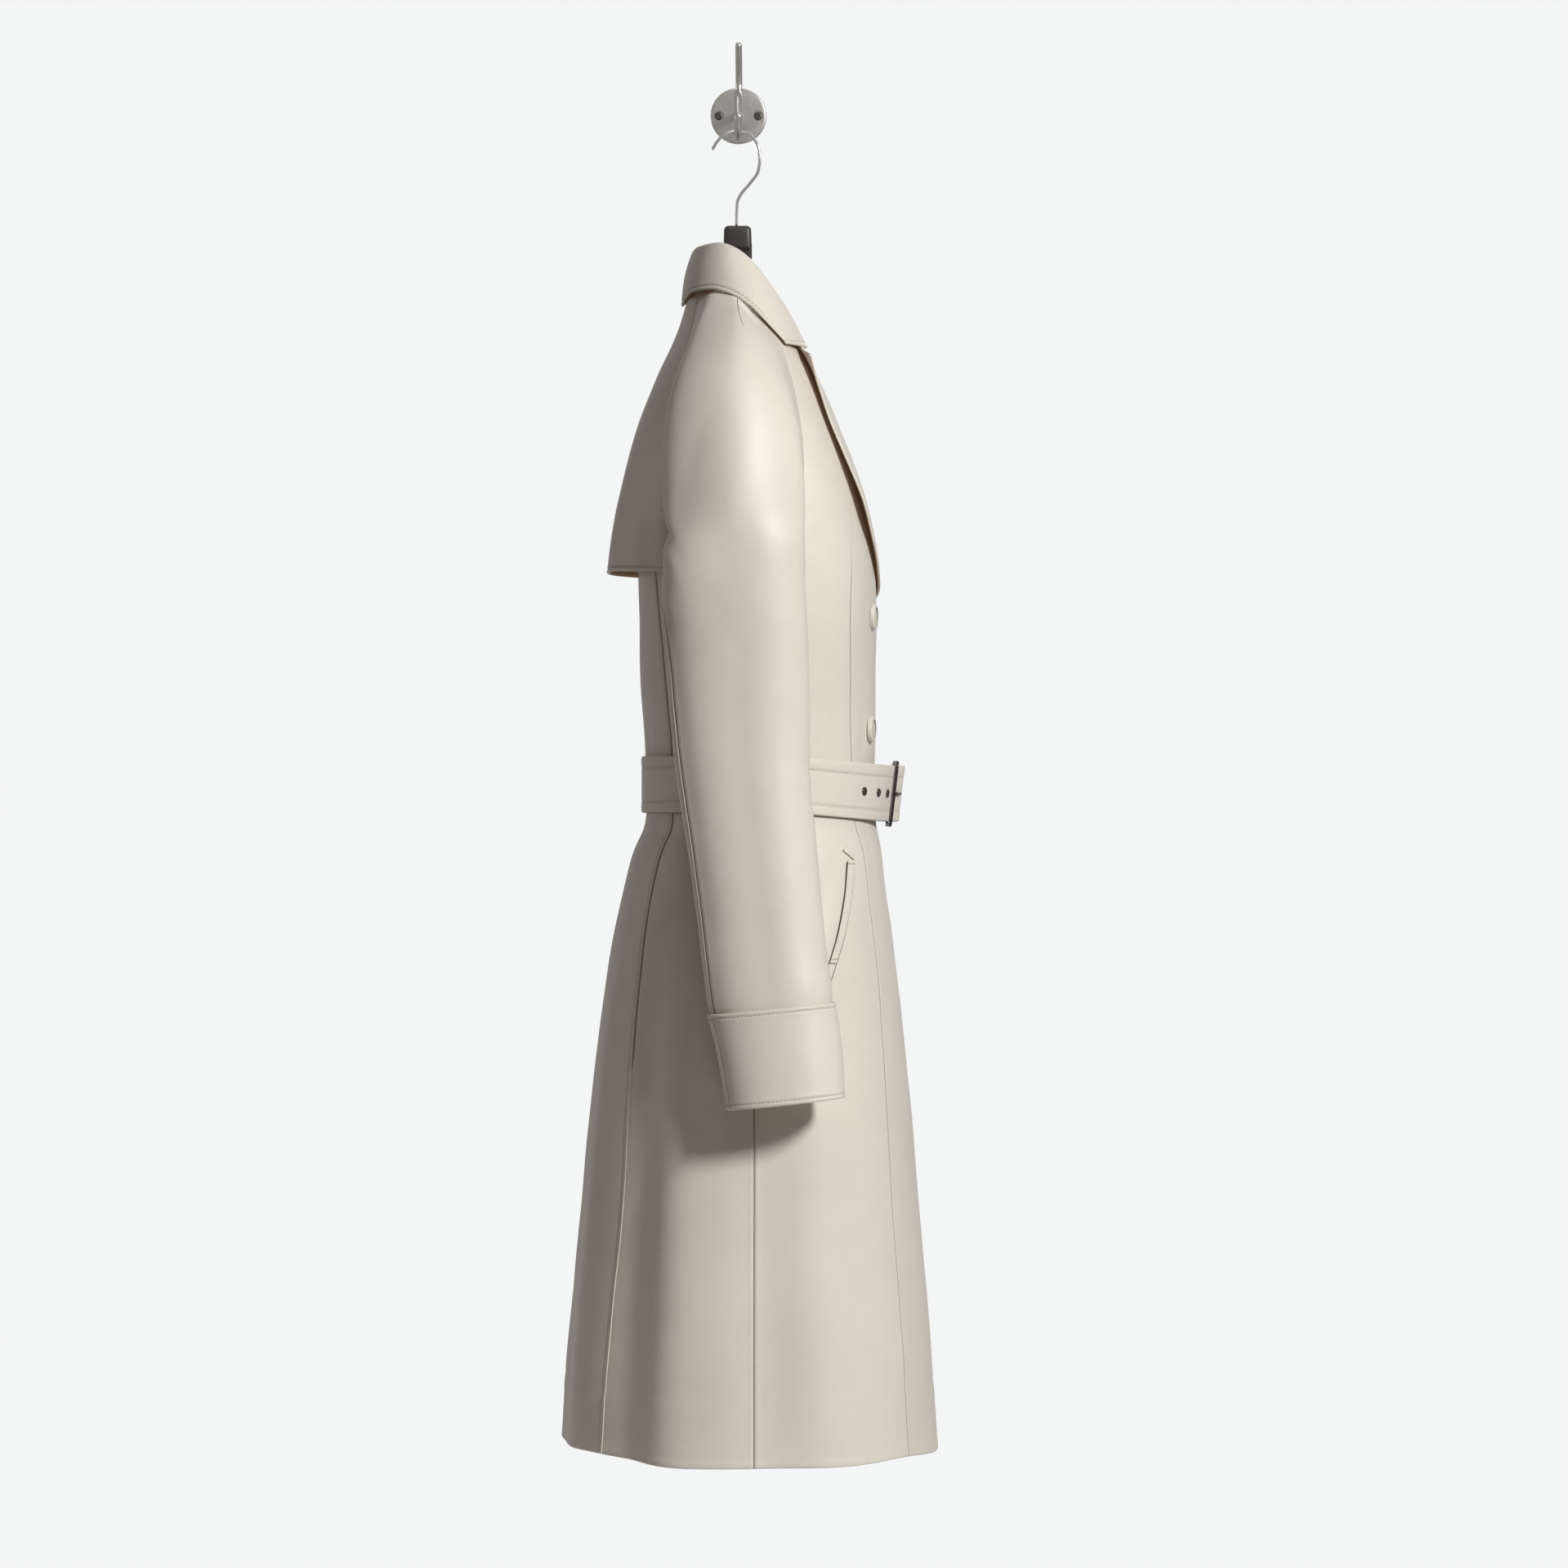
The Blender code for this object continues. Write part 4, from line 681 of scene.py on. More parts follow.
def makeSidePanels(side):
    for word, (table, atFront, edges) in sidePanels.items():
        upper = [seamLevel(z) for z in levels["front"]] if atFront else levels["back"]
        column = shoulder[word + "Share"]
        shares = [(1 + column[-1]) / 2, *column[::-1]]
        starts = [(body["sideSeamX"], z, z) for z in levels["skirt"]]
        starts += [(*raglan(table, share), z) for z, share in zip(upper, shares)]
        rows = []
        for x, edgeZ, z in starts:
            seam = turnAtV(bodyAt(word + "Seam", z), z, atFront)
            rows.append(torsoRow((turnAtX(x, edgeZ), seam), (edgeZ, z), panelColumns["side"], side))
        wallFromRows("leather_side_" + word + "_" + sideWords[side], rows, edges, inBody)


lapel = {                       # the right one, which lies on top; the left one is mirrored and ends earlier
    "rollV": (-50, -40, -24, -4, 18, 44, 68, 84),
    "rollZ": (-221, -248, -285, -322, -362, -404, -444, -470),
    "edgeV": (-84, -90, -95, -97, -92, -66, -16, 78),
    "edgeZ": (-243, -270, -305, -342, -384, -424, -456, -476),
    "lift":  (11.0, 8.0, 7.0, 8.5, 10.5, 6.0, 3.6, 3.2),
    "stand": (3.0, 1.0, 0, 0.5, 1.5, 1.0, 0, 0),        # how far the free edge then goes forwards
    "liftPower": 2.6,                                   # more than 1 keeps the lapel low up to its free edge
    "roll": 2.2, "rollAngles": (-60, -40, -15, 10, 35, 55, 75), "gap": 0.2, "bulge": 0.5, "clear": 6.0,
    "underShare": 0.74, "underlapDepth": 2.5, "underlapStart": 5,
    # shadeFrom, shade and shadeFades: the painted shade behind a lapel, where it starts inside the lapel's
    # edge, how dark it is, and its fades
    "rows": 40, "columns": 36, "shadeFrom": 2.0, "shade": 0.12, "shadeFades": (5, 10, 22),
    "spread": (0.02, 1, 14), "findSteps": 401,          # places from the roll to the edge, and in the search
}


def rollV(z):
    return curve(lapel["rollZ"], lapel["rollV"], z)


def makeFront(side):
    def inset(points):          # the left front goes down under the right one
        if side == rightSide:
            return np.zeros(len(points))
        free = rollV(points[:, 2])
        seam = bodyAt("frontSeam", points[:, 2])
        share = np.clip((seam - points[:, 1]) / (seam - free - lapel["underlapStart"]), 0, 1)
        return lapel["underlapDepth"] * share * share * (3 - 2 * share)

    rows = []
    for z in levels["skirt"] + levels["front"]:
        seamZ = seamLevel(z)
        seam = turnAtV(bodyAt("frontSeam", seamZ), seamZ, True)
        edge = turnAtV(-rollV(float(z)), z, True)
        rows.append(torsoRow((seam, edge), (seamZ, z), panelColumns["front"], side, inset))
    panelSeam = ("faint", "seam", fadeLevels["panel"])
    wallFromRows("leather_front_" + sideWords[side], rows, ("hem", "seam", panelSeam, "turned"), inBody)


# Sleeves.

sleeve = {
    "z":      (-430, -470, -514, -560, -613, -665, -720, -776, -825, -858, -880),
    "back":   (-71, -71, -68, -66, -62, -55, -46.5, -38, -32, -27.5, -21),
    "front":  (65, 65, 67, 68, 69, 71, 76, 81, 86, 90.5, 89),
    "middle": (207, 207, 206, 205, 205, 206, 209, 212, 216, 219, 221),
    "half":   (34, 34, 34, 34, 34, 34, 34, 34, 35, 36, 34.5),
    "tilt":   (0, 0, 0, 0, 0, 0, 2, 3, 5, 6, 6),
    "frontSeam": (-40, -45, -50, -50, -50, -50, -50, -50, -50, -50, -50),
    "backSeam":  (212, 186, 167, 159, 157, 157, 157, 157, 157, 157, 157),
    "roundness": 2.3, "fine": 91, "topColumns": 46, "underColumns": 22, "armholeStops": 12,
    "underTrim": 0.6, "underMix": (0.45, 0.55), "underLeastV": 170.5,   # the row that eases the underarm
    "foldsFrom": (250, 430),            # the heights, downwards, over which the sleeve's own folds begin
    "elbowZ": -600, "insideX": 30, "insideV": 205, "insideTop": -330, "armholeOut": 0.5, "overPoints": 90,
}
cuff = {
    "z":      (-866, -890, -925, -956),
    "back":   (-28.5, -22, -15, -10),
    "front":  (93, 97, 101, 102),
    "middle": (220, 222, 226, 229),
    "half":   (38.2, 38.5, 38.5, 38.5),
    "tilt":   (6, 6, 6, 6),
    "seam": 157, "fine": 181, "rows": 7, "columns": 60, "step": 5.0,
}


def sleeveRing(table, z, angles, side):
    back, front, middle, half, tilt = (curve(table["z"], table[n], z)
                                       for n in ("back", "front", "middle", "half", "tilt"))
    turn, power = np.radians(angles), 2 / sleeve["roundness"]
    across = signedPower(np.cos(turn), power)
    x = (front + back) / 2 + (front - back) / 2 * across
    v = middle + half * signedPower(np.sin(turn), power)
    return np.stack([x, side * v, z + tilt * across], axis=-1)


def armholeLine(side):
    points = []
    for table, column in ((raglanBack, "backShare"), (raglanFront, "frontShare")):
        shares = np.linspace(shoulder[column][-1], 1, sleeve["armholeStops"])
        line = [bodyPoint(turnAtX(x, z), z, side) for x, z in (raglan(table, s) for s in shares)]
        points += line if table is raglanBack else line[::-1][1:]
    return np.array(points) + np.array([0, side * sleeve["armholeOut"], 0])


def throughPoints(points, count):       # a smooth line through a few points
    points = np.asarray(points, float)
    run = runOf(points)
    return curve(run, points, np.linspace(0, run[-1], count))


def sleeveFolder(side):
    def folds(grid):
        low = ramp(-grid[..., 2], *sleeve["foldsFrom"])[..., None]
        return bodyRipple(grid) * (1 - low) + sleeveFoldAt(grid, side) * low
    return folds


def bodyRipple(grid):
    normal, _ = outOfBody(grid)
    return grid + normal * rippleAt(grid)[..., None]


def makeSleeve(side):
    word = sideWords[side]
    rows = []
    for k in range(len(shoulder["outerX"])):
        ends = []
        for table, column in ((raglanFront, "frontShare"), (raglanBack, "backShare")):
            x, z = raglan(table, shoulder[column][k])
            ends.append(bodyPoint(turnAtX(x, z), z, side))
        middle = [np.array([shoulder[p + "X"][k], side * shoulder[p + "V"][k], shoulder[p + "Z"][k]])
                  for p in ("front", "outer", "back")]
        over = throughPoints([ends[0]] + middle + [ends[1]], sleeve["overPoints"])
        rows.append(measured(over, sleeve["topColumns"]))
    for z in sleeve["z"]:
        first, last = (curve(sleeve["z"], sleeve[n], z) for n in ("frontSeam", "backSeam"))
        ring = sleeveRing(sleeve, z, np.linspace(first, last, sleeve["fine"]), side)
        rows.append(measured(ring, sleeve["topColumns"]))
    backSeam = ("plain", "seam", fadeLevels["raglan"])
    wallFromRows("leather_sleeve_top_" + word, rows, ("seam", "plain", "faint", backSeam), inSleeve(side),
                 folds=sleeveFolder(side))

    rows = [measured(armholeLine(side), sleeve["underColumns"], sleeve["underTrim"])]
    for z in sleeve["z"]:
        first, last = (curve(sleeve["z"], sleeve[n], z) for n in ("backSeam", "frontSeam"))
        ring = sleeveRing(sleeve, z, np.linspace(first, 360 + last, sleeve["fine"]), side)
        rows.append(measured(ring, sleeve["underColumns"]))
    upperShare, lowerShare = sleeve["underMix"]
    between = rows[0] * upperShare + rows[1] * lowerShare
    between[1:-1, 1] = side * np.maximum(np.abs(between[1:-1, 1]), sleeve["underLeastV"])
    rows.insert(1, between)
    wallFromRows("leather_sleeve_under_" + word, rows, ("seam", "plain", "piped", "seam"), inSleeve(side),
                 folds=sleeveFolder(side))


def makeCuff(side):
    rows = []
    turn = np.linspace(cuff["seam"], cuff["seam"] + 360, cuff["fine"])
    for z in np.linspace(cuff["z"][0], cuff["z"][-1], cuff["rows"]):
        rows.append(measured(sleeveRing(cuff, z, turn, side), cuff["columns"]))
    wallFromRows("leather_cuff_" + sideWords[side], rows, ("turned", "turned", "plain", "seam"),
                 inSleeve(side), step=cuff["step"], folds=None)


# Storm flap, collar and lapels.

flap = {
    "z":     (-178, -200, -232, -274, -314, -366, -424, -447),
    "lift":  (2.2, 3.0, 4.5, 8.5, 13.0, 19.0, 28.0, 30.0),
    "sideLift": 2.2, "neckLift": 0.3, "liftFrom": (255, 300), "liftPower": 2.2, "softPower": 6,
    "fine": 161, "columns": 70, "step": 5.0,
    "rows": (-447, -424, -395, -366, -336, -306, -278, -252, -228, -205, -180),
    "folds": ((-62, 20, 4.0), (58, 24, 3.2)), "foldGrow": (230.0, 430.0), "trim": 0.6,
    "soft": ((-118, 16, -4.0), (-20, 26, -2.4), (104, 18, -3.2), (22, 20, 1.8)),    # smaller ones
    "hemDrop": 4.5,
}


def makeFlap():
    rows = []
    growFrom, growTo = flap["foldGrow"]
    for z in flap["rows"]:
        edge = float(turnAtX(curve(raglanBack["z"][4:], raglanBack["x"][4:], float(z)), float(z)))
        t = np.linspace(-edge, edge, flap["fine"])
        level = np.full(flap["fine"], float(z))
        share = np.clip(np.abs(t) / edge, 0, 1)
        middle = curve(flap["z"], flap["lift"], level)
        sideLift = flap["neckLift"] + (flap["sideLift"] - flap["neckLift"]) * ramp(-z, *flap["liftFrom"])
        lift = sideLift + (middle - sideLift) * (1 - share ** flap["liftPower"])
        hang = np.clip((-level - growFrom) / (growTo - growFrom), 0, 1)
        points = bodyPoint(t, level, leftSide)
        for v, width, height in flap["folds"]:
            lift = lift + height * hang * hump(points[:, 1] - v, width)
        for v, width, height in flap["soft"]:
            lift = lift + height * hang * hump(points[:, 1] - v, width) * (1 - share ** flap["softPower"])
        points = points + bodyNormal(t, level, leftSide) * lift[:, None]
        points[:, 2] -= flap["hemDrop"] * share**2 * hang**3
        rows.append(measured(points, flap["columns"], flap["trim"]))
    sideEdge = ("plain", "tucked", fadeLevels["flap"])
    wallFromRows("leather_storm_flap", rows, ("turned", "seam", sideEdge, sideEdge), inBody,
                 step=flap["step"], folds=bodyRipple)


collar = {
    "foldX": (-45, -42, -33, -20, -4, 14, 32, 50, 68.5),
    "foldV": (0, 22, 44, 58, 66, 68, 65, 59, 50),
    "foldZ": (-131, -130, -129, -128, -133, -146, -168, -195, -230.5),
    "edgeX": (-56, -53, -43, -27, -9, 9.5, 24.5, 37, 48),
    "edgeV": (0, 30, 59, 78, 90, 96.5, 100, 101, 100),
    "edgeZ": (-187, -182, -176, -175.5, -180, -190.5, -204.5, -217.5, -229),
    "bulge": 3.0, "neckX": -8.0, "standInset": 2.2, "standDrop": 2.6, "standShort": 4,
    "footX": (-46, -43, -35, -22, -6, 10, 24, 36, 46),
    "footV": (0, 20, 39, 52, 60, 62, 60, 56, 50),
    "footZ": (-162, -162, -162, -163, -167, -175, -186, -198, -210),
    "roll": 1.7, "turns": (175, 150, 120, 90, 60, 30),      # the leather turns over the stand at these angles
    "drops": (0.0, 0.06, 0.15, 0.3, 0.5, 0.7, 0.85, 1.0), "fine": 181, "columns": 110, "standColumns": 90,
}


def collarLine(line, share):
    x, v, z = along(collar, (line + "X", line + "V", line + "Z"), np.abs(share))
    return np.stack([x, np.sign(share) * v, z], axis=-1)


def fromNeck(points):
    away = (points - np.array([collar["neckX"], 0, 0])) * np.array([1, 1, 0])
    return away / np.linalg.norm(away, axis=1, keepdims=True)


def makeCollar():
    shares = np.linspace(-1, 1, collar["fine"])
    fold, edge = collarLine("fold", shares), collarLine("edge", shares)
    rows = []
    for turn in collar["turns"]:
        angle = math.radians(turn)
        offset = fromNeck(fold) * (math.cos(angle) - 1) + np.array([0, 0, 1.0]) * math.sin(angle)
        rows.append(measured(fold + offset * collar["roll"], collar["columns"]))
    for drop in collar["drops"]:
        middle = fold * (1 - drop) + edge * drop
        bulge = fromNeck(middle) * collar["bulge"] * math.sin(math.pi * drop)
        rows.append(measured(middle + bulge, collar["columns"]))
    wallFromRows("leather_collar_fall", rows, ("plain", "turned", "turned", "turned"), inBody, step=3.0,
                 near=(0, 1), folds=None, thickness=coat["trim"])

    foot = collarLine("foot", shares)
    top = fold - fromNeck(fold) * collar["standInset"] - np.array([0, 0, collar["standDrop"]])
    inner = slice(collar["standShort"], -collar["standShort"])
    rows = [measured((top * (1 - s) + foot * s)[inner], collar["standColumns"]) for s in (0, 0.5, 1)]
    wallFromRows("leather_collar_stand", rows, ("plain", "seam", "seam", "seam"), inBody, step=5.0,
                 folds=None)


def lapelSpot(spot, lift, side):
    v, z = spot
    t = turnAtV(-v, z, True)
    point = bodyPoint(t, z, rightSide) + bodyNormal(t, z, rightSide) * lift
    return point * np.array([1, -side, 1])


def makeLapel(side):
    share = np.linspace(0, 1 if side == rightSide else lapel["underShare"], lapel["rows"])
    rollLine = along(lapel, ("rollV", "rollZ"), share)
    edgeLine = along(lapel, ("edgeV", "edgeZ"), share)
    rollSlope = [np.gradient(values) for values in rollLine]
    liftEdge, stand = along(lapel, ("lift", "stand"), share)
    rows = []
    for k in range(len(share)):
        roll = np.array([rollLine[0][k], rollLine[1][k]])
        across = np.array([edgeLine[0][k], edgeLine[1][k]]) - roll
        width = np.linalg.norm(across)
        across /= width
        ahead = np.array([rollSlope[0][k], rollSlope[1][k]])
        outside = np.array([-ahead[1], ahead[0]]) / np.linalg.norm(ahead)
        start = 0.0
        if side == leftSide:            # it shows only from the right front's edge on
            for step in np.linspace(0, 1, lapel["findSteps"]):
                spot = roll + across * width * step
                if -spot[0] >= rollV(spot[1]) + lapel["clear"]:
                    break
                start = step
        row = []
        for angle in lapel["rollAngles"]:
            beyond = lapel["roll"] * math.cos(math.radians(angle)) + lapel["gap"]
            lift = lapel["roll"] * math.sin(math.radians(angle)) + lapel["gap"]
            row.append(lapelSpot(roll + across * width * start + outside * beyond, lift, side))
        for s in np.linspace(*lapel["spread"]):
            lift = lapel["roll"] + 2 * lapel["gap"] + (liftEdge[k] - lapel["roll"]) * s ** lapel["liftPower"]
            lift += lapel["bulge"] * math.sin(math.pi * s)
            spot = lapelSpot(roll + across * width * (start + (1 - start) * s), lift, side)
            row.append(spot + np.array([stand[k] * s ** lapel["liftPower"], 0, 0]))
        rows.append(measured(np.array(row), lapel["columns"]))
    wallFromRows("leather_lapel_" + sideWords[side], rows, ("turned", "plain", "plain", "turned"), inBody,
                 step=3.5, near=(1, 0), folds=None, thickness=coat["trim"])


# Belt and pockets.

belt = {
    "topBack": -627.0, "width": 55.0, "drop": 9.0, "dropX": (50.0, 148.0), "lift": 1.5, "thick": 3.0,
    "tilt": 3.2, "tiltX": (124.0, 146.0), "ringZ": -655.0, "ringFromV": 105.0,
    "frontV": (-90, -72, -50, -28, -10, 8, 26, 46, 70, 92, 112),
    "frontX": (124, 133, 141, 147, 153, 160, 160, 153, 142, 127, 113),
    "underV": (88, 70, 48, 28.8), "underX": (124.5, 134, 142, 146.3),
    "tip": 26.0, "tipMost": 0.44, "rows": 320, "columns": 16, "step": 4.5, "frontRows": 120,
    "shortOf": 0.1, "ringPoints": 25, "finePoints": 900, "across": 15,
}


def leanAt(x):
    return np.clip((x - belt["tiltX"][0]) / (belt["tiltX"][1] - belt["tiltX"][0]), 0, 1)


def beltHeight(x, share):
    back, front = belt["dropX"]
    return belt["topBack"] - belt["drop"] * np.clip((x - back) / (front - back), 0, 1) - belt["width"] * share


def beltPath():                 # from under the buckle round the body and over the front to the buckle
    z = belt["ringZ"]
    reach = float(turnAtV(belt["ringFromV"], z, True))
    reach -= belt["shortOf"]
    t = np.linspace(reach, -reach, belt["ringPoints"])
    level = np.full(len(t), z)
    ring = bodyPoint(t, level, leftSide) + bodyNormal(t, level, leftSide) * (belt["lift"] + belt["thick"])
    path = list(zip(belt["underX"][::-1], belt["underV"][::-1]))
    path += [(p[0], p[1]) for p in ring]
    path += zip(belt["frontX"], belt["frontV"])
    line = throughPoints([(x, v, 0.0) for x, v in path], belt["finePoints"])
    return pointsAt(line, np.linspace(0, runOf(line)[-1], belt["rows"]))


def makeBelt():
    line = beltPath()
    run = runOf(line)
    beyond = np.clip(1 - (run[-1] - run) / belt["tip"], 0, 1)           # grows over the rounded tip
    tip = np.clip((1 - np.sqrt(1 - beyond ** 2)) * 0.5, 0, belt["tipMost"])
    columns = []
    for share in np.linspace(0, 1, belt["across"]):
        row = line.copy()
        own = 0.5 + (share - 0.5) * (1 - 2 * tip)
        row[:, 2] = beltHeight(row[:, 0], own)
        row[:, 0] += belt["tilt"] * (1 - 2 * own) * leanAt(row[:, 0])
        columns.append(row)
    rows = [measured(row, belt["columns"], 0.0) for row in np.array(columns).transpose(1, 0, 2)]
    wallFromRows("leather_belt", rows, ("plain", "plain", "belt", "beltFoot"), inBody, step=belt["step"],
                 folds=None, thickness=belt["thick"])


def beltSpot(v):                # a place in the middle of the belt's front, and its direction
    line = beltPath()[-belt["frontRows"]:]
    x, ahead = (float(np.interp(spot, line[:, 1], line[:, 0])) for spot in (v, v + 2))
    normal = np.array([1, (x - ahead) / 2, -2 * belt["tilt"] / belt["width"] * leanAt(x)])
    return np.array([x, v, beltHeight(x, 0.5)]), normal / np.linalg.norm(normal)


def onBody(x, z, side, lift):
    t = turnAtX(x, z)
    return bodyPoint(t, z, side) + bodyNormal(t, z, side) * lift


def makePocket(side):
    word = sideWords[side]
    x, z = along(pocket, ("x", "z"), np.linspace(0, 1, pocket["stops"]))
    lift = coat["leather"] + pocket["gap"]
    rows = []
    for a, b in zip(x, z):
        row = np.array([onBody(a + pocket["welt"] * s, b, side, lift) for s in np.linspace(0, 1, 9)])
        rows.append(measured(row, 8, 0.0))
    wallFromRows("leather_pocket_welt_" + word, rows, ("turned", "turned", "plain", "plain"), inBody,
                 step=3.0)
    length, width = pocket["tab"]
    slant = math.radians(pocket["slant"])
    centre = (pocket["x"][0] + pocket["tabAt"][0], pocket["z"][0] + pocket["tabAt"][1])
    rows = []
    for b in np.linspace(-width / 2, width / 2, 5):
        line = [onBody(centre[0] + a * math.cos(slant) - b * math.sin(slant),
                       centre[1] + a * math.sin(slant) + b * math.cos(slant), side, lift)
                for a in np.linspace(-length / 2, length / 2, 15)]
        rows.append(measured(np.array(line), 8, 0.0))
    wallFromRows("leather_pocket_tab_" + word, rows, ("plain",) * 4, inBody, step=0.8)


makeBackPanel()
for side in (rightSide, leftSide):
    makeSidePanels(side)
    makeFront(side)
    makeSleeve(side)
    makeCuff(side)
    makeLapel(side)
    makePocket(side)
makeFlap()
makeCollar()
makeBelt()
print("leather cut and shaped")


# Stitches: short raised threads along a line at a distance from an edge.

stitch = {                      # one thread's form: the shares of its length and radius where it is thick
    "length": 2.9, "pitch": 4.2, "radius": 0.42, "sunk": 0.12, "sides": 6, "thickAt": (0.18, 0.82),
    "thick": 0.8, "rise": 0.6,
}
edgeIndex = {"first row": 0, "last row": 1, "first column": 2, "last column": 3}
sewn = {                        # the distance of a piece's stitches from its edges, and the edges
    "leather_back": (5.0, "first column", "last column"),
    "leather_storm_flap": (4.4, "first row"),
    "leather_collar_fall": (4.4, "last row", "first column", "last column"),
    "leather_belt": (10.5, "first column", "last column"),
}
sewnPairs = {                   # the same for the pieces that come in twos
    "leather_front_": (4.4, "last column"),
    "leather_cuff_": (4.4, "first row", "last row"),
    "leather_lapel_": (4.4, "last column", "first row"),
    "leather_pocket_welt_": (2.0, "first column", "last column"),
}


def edgeLine(name, edge, off):
    # points and normals of a piece's surface at a distance from one of its edges
    piece = pieces[name]
    number = edgeIndex[edge]
    distance, outer, normal = piece["spread"][number], piece["outer"], piece["normal"]
    if number < 2:
        distance, outer, normal = distance.T, outer.transpose(1, 0, 2), normal.transpose(1, 0, 2)
    points, ways = [], []
    for d, line, way in zip(distance, outer, normal):
        order = np.argsort(d)
        points.append([np.interp(off, d[order], line[order, k]) for k in range(3)])
        ways.append([np.interp(off, d[order], way[order, k]) for k in range(3)])
    return np.array(points), np.array(ways)


def sewEdges(on, off, *edges):
    vertices, faces = [], []
    sides, (early, late) = stitch["sides"], stitch["thickAt"]
    ring = np.linspace(0, 2 * math.pi, sides, endpoint=False)
    for points, ways in (edgeLine(on, edge, off) for edge in edges):
        run = runOf(points)
        count = int(run[-1] / stitch["pitch"])
        for middle in (np.arange(count) + 0.5) * run[-1] / max(count, 1):
            a, b = pointsAt(points, [middle - stitch["length"] / 2, middle + stitch["length"] / 2])
            up = np.array([np.interp(middle, run, ways[:, k]) for k in range(3)])
            ahead = (b - a) / max(np.linalg.norm(b - a), 1e-6)
            across = np.cross(ahead, up)
            across /= max(np.linalg.norm(across), 1e-6)
            up = np.cross(across, ahead)
            first = len(vertices)
            second, last = first + 1 + sides, first + 1 + 2 * sides
            lifted = up * (stitch["radius"] - stitch["sunk"]) * stitch["rise"]
            vertices.append(a - up * stitch["sunk"])
            for spot in (a * late + b * early, a * early + b * late):
                for angle in ring:
                    rim = across * math.cos(angle) + up * math.sin(angle)
                    vertices.append(spot + lifted + rim * stitch["radius"] * stitch["thick"])
            vertices.append(b - up * stitch["sunk"])
            for k in range(sides):
                n = (k + 1) % sides
                faces.append((first, first + 1 + n, first + 1 + k))
                faces.append((first + 1 + k, first + 1 + n, second + n, second + k))
                faces.append((last, second + k, second + n))
    obj = makeObject(on.replace("leather_", "stitches_"), place(np.array(vertices)), faces)
    outwards(obj)
    obj.data.materials.append(threadMaterial)
    pieces[on]["sewing"] = [obj]


def outwards(obj):
    work = bmesh.new()
    work.from_mesh(obj.data)
    bmesh.ops.recalc_face_normals(work, faces=work.faces)
    work.to_mesh(obj.data)
    work.free()


paintedShadeStrips = []
ribbonForm = ((-0.5, 0), (-0.4, 0.8), (0, 1), (0.4, 0.8), (0.5, 0))     # across it: share of width, of height


def paintShadeStrip(name, middles, ways, widths, low, high):
    # a narrow dark strip of painted shade on the leather, along its middle points, with the directions out of
    # the surface
    rows = []
    for spot, side, up, wide in zip(middles, acrossLine(middles, ways), ways, widths):
        for off, share in ribbonForm:
            rows.append(spot + side * wide * off + up * (high * share if share else low))
    count = len(ribbonForm)
    last = len(rows) - count
    faces = [tuple(range(count)), tuple(last + k for k in reversed(range(count)))]
    for first in range(0, last, count):
        for k in range(count):
            n = (k + 1) % count
            faces.append((first + k, first + n, first + count + n, first + count + k))
    obj = makeObject(name, place(rows), faces)
    outwards(obj)
    obj.data.materials.append(shadedLeather)
    paintedShadeStrips.append(obj)


def acrossLine(points, ways):
    across = np.cross(np.gradient(points, axis=0), ways)
    return across / np.linalg.norm(across, axis=1, keepdims=True)


def paintPocketShade(side):
    # painted shade: a dark strip in the mouth along the welt's rear edge, narrow at both ends, and a thin dark
    # strip along the line sewn in front of it
    stops = pocket["stops"]
    x, z = along(pocket, ("x", "z"), np.linspace(pocket["slitFrom"], 1, stops))
    slope = (x[-1] - x[-2]) / (z[-1] - z[-2])
    more = np.linspace(0, pocket["lineBelow"], pocket["lineMore"] + 1)[1:]
    longX, longZ = np.concatenate([x, x[-1] - more * slope]), np.concatenate([z, z[-1] - more])
    slit = pocket["slit"] * np.sin(np.linspace(*pocket["slitEnds"], stops)) ** pocket["slitPower"]
    line = np.full(len(longX), pocket["lineWidth"])
    for name, xs, zs, off, high, widths in (
            ("pocket_mouth_shade_", x, z, 0, pocket["slitHigh"], slit),
            ("pocket_line_shade_", longX, longZ, pocket["lineOff"], pocket["lineHigh"], line)):
        t = turnAtX(xs + off, zs)
        points, ways = bodyPoint(t, zs, side), bodyNormal(t, zs, side)
        paintShadeStrip(name + sideWords[side], bodyFolds(points[None])[0], ways, widths, 0.0, high)


# the dark strip of painted shade along the shoulder dart
dart = {"x": 0.0, "z": (-186.0, -217.0), "width": 0.8, "tip": 0.4, "stops": 24, "low": -0.1, "high": 0.12}


def paintDartShade(side):
    # painted shade: a dark strip along the short dart that shapes the shoulder, down from under the collar
    outer, normal = (pieces["leather_sleeve_top_" + sideWords[side]][key] for key in ("outer", "normal"))
    atTop = [np.interp(-dart["z"][0], -outer[:, c, 2], outer[:, c, 0]) for c in range(outer.shape[1])]
    best = int(np.argmin(np.abs(np.array(atTop) - dart["x"])))
    line, way = outer[:, best], normal[:, best]
    order = np.argsort(-line[:, 2])
    down = -np.linspace(*dart["z"], dart["stops"])
    spots, ways = (np.stack([np.interp(down, -line[order, 2], values[order, k]) for k in range(3)], axis=1)
                   for values in (line, way))
    widths = dart["width"] * np.linspace(1, dart["tip"], dart["stops"])
    paintShadeStrip("shoulder_dart_shade_" + sideWords[side], spots, ways, widths, dart["low"], dart["high"])


for name, rows in sewn.items():
    sewEdges(name, *rows)
for side in (rightSide, leftSide):
    for start, rows in sewnPairs.items():
        sewEdges(start + sideWords[side], *rows)
    paintPocketShade(side)
    paintDartShade(side)
print("stitches sewn")


# Hard pieces, each started from a plain form, worked on in edit mode and then given its modifiers.

def finishPiece(obj):
    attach(obj, "root")


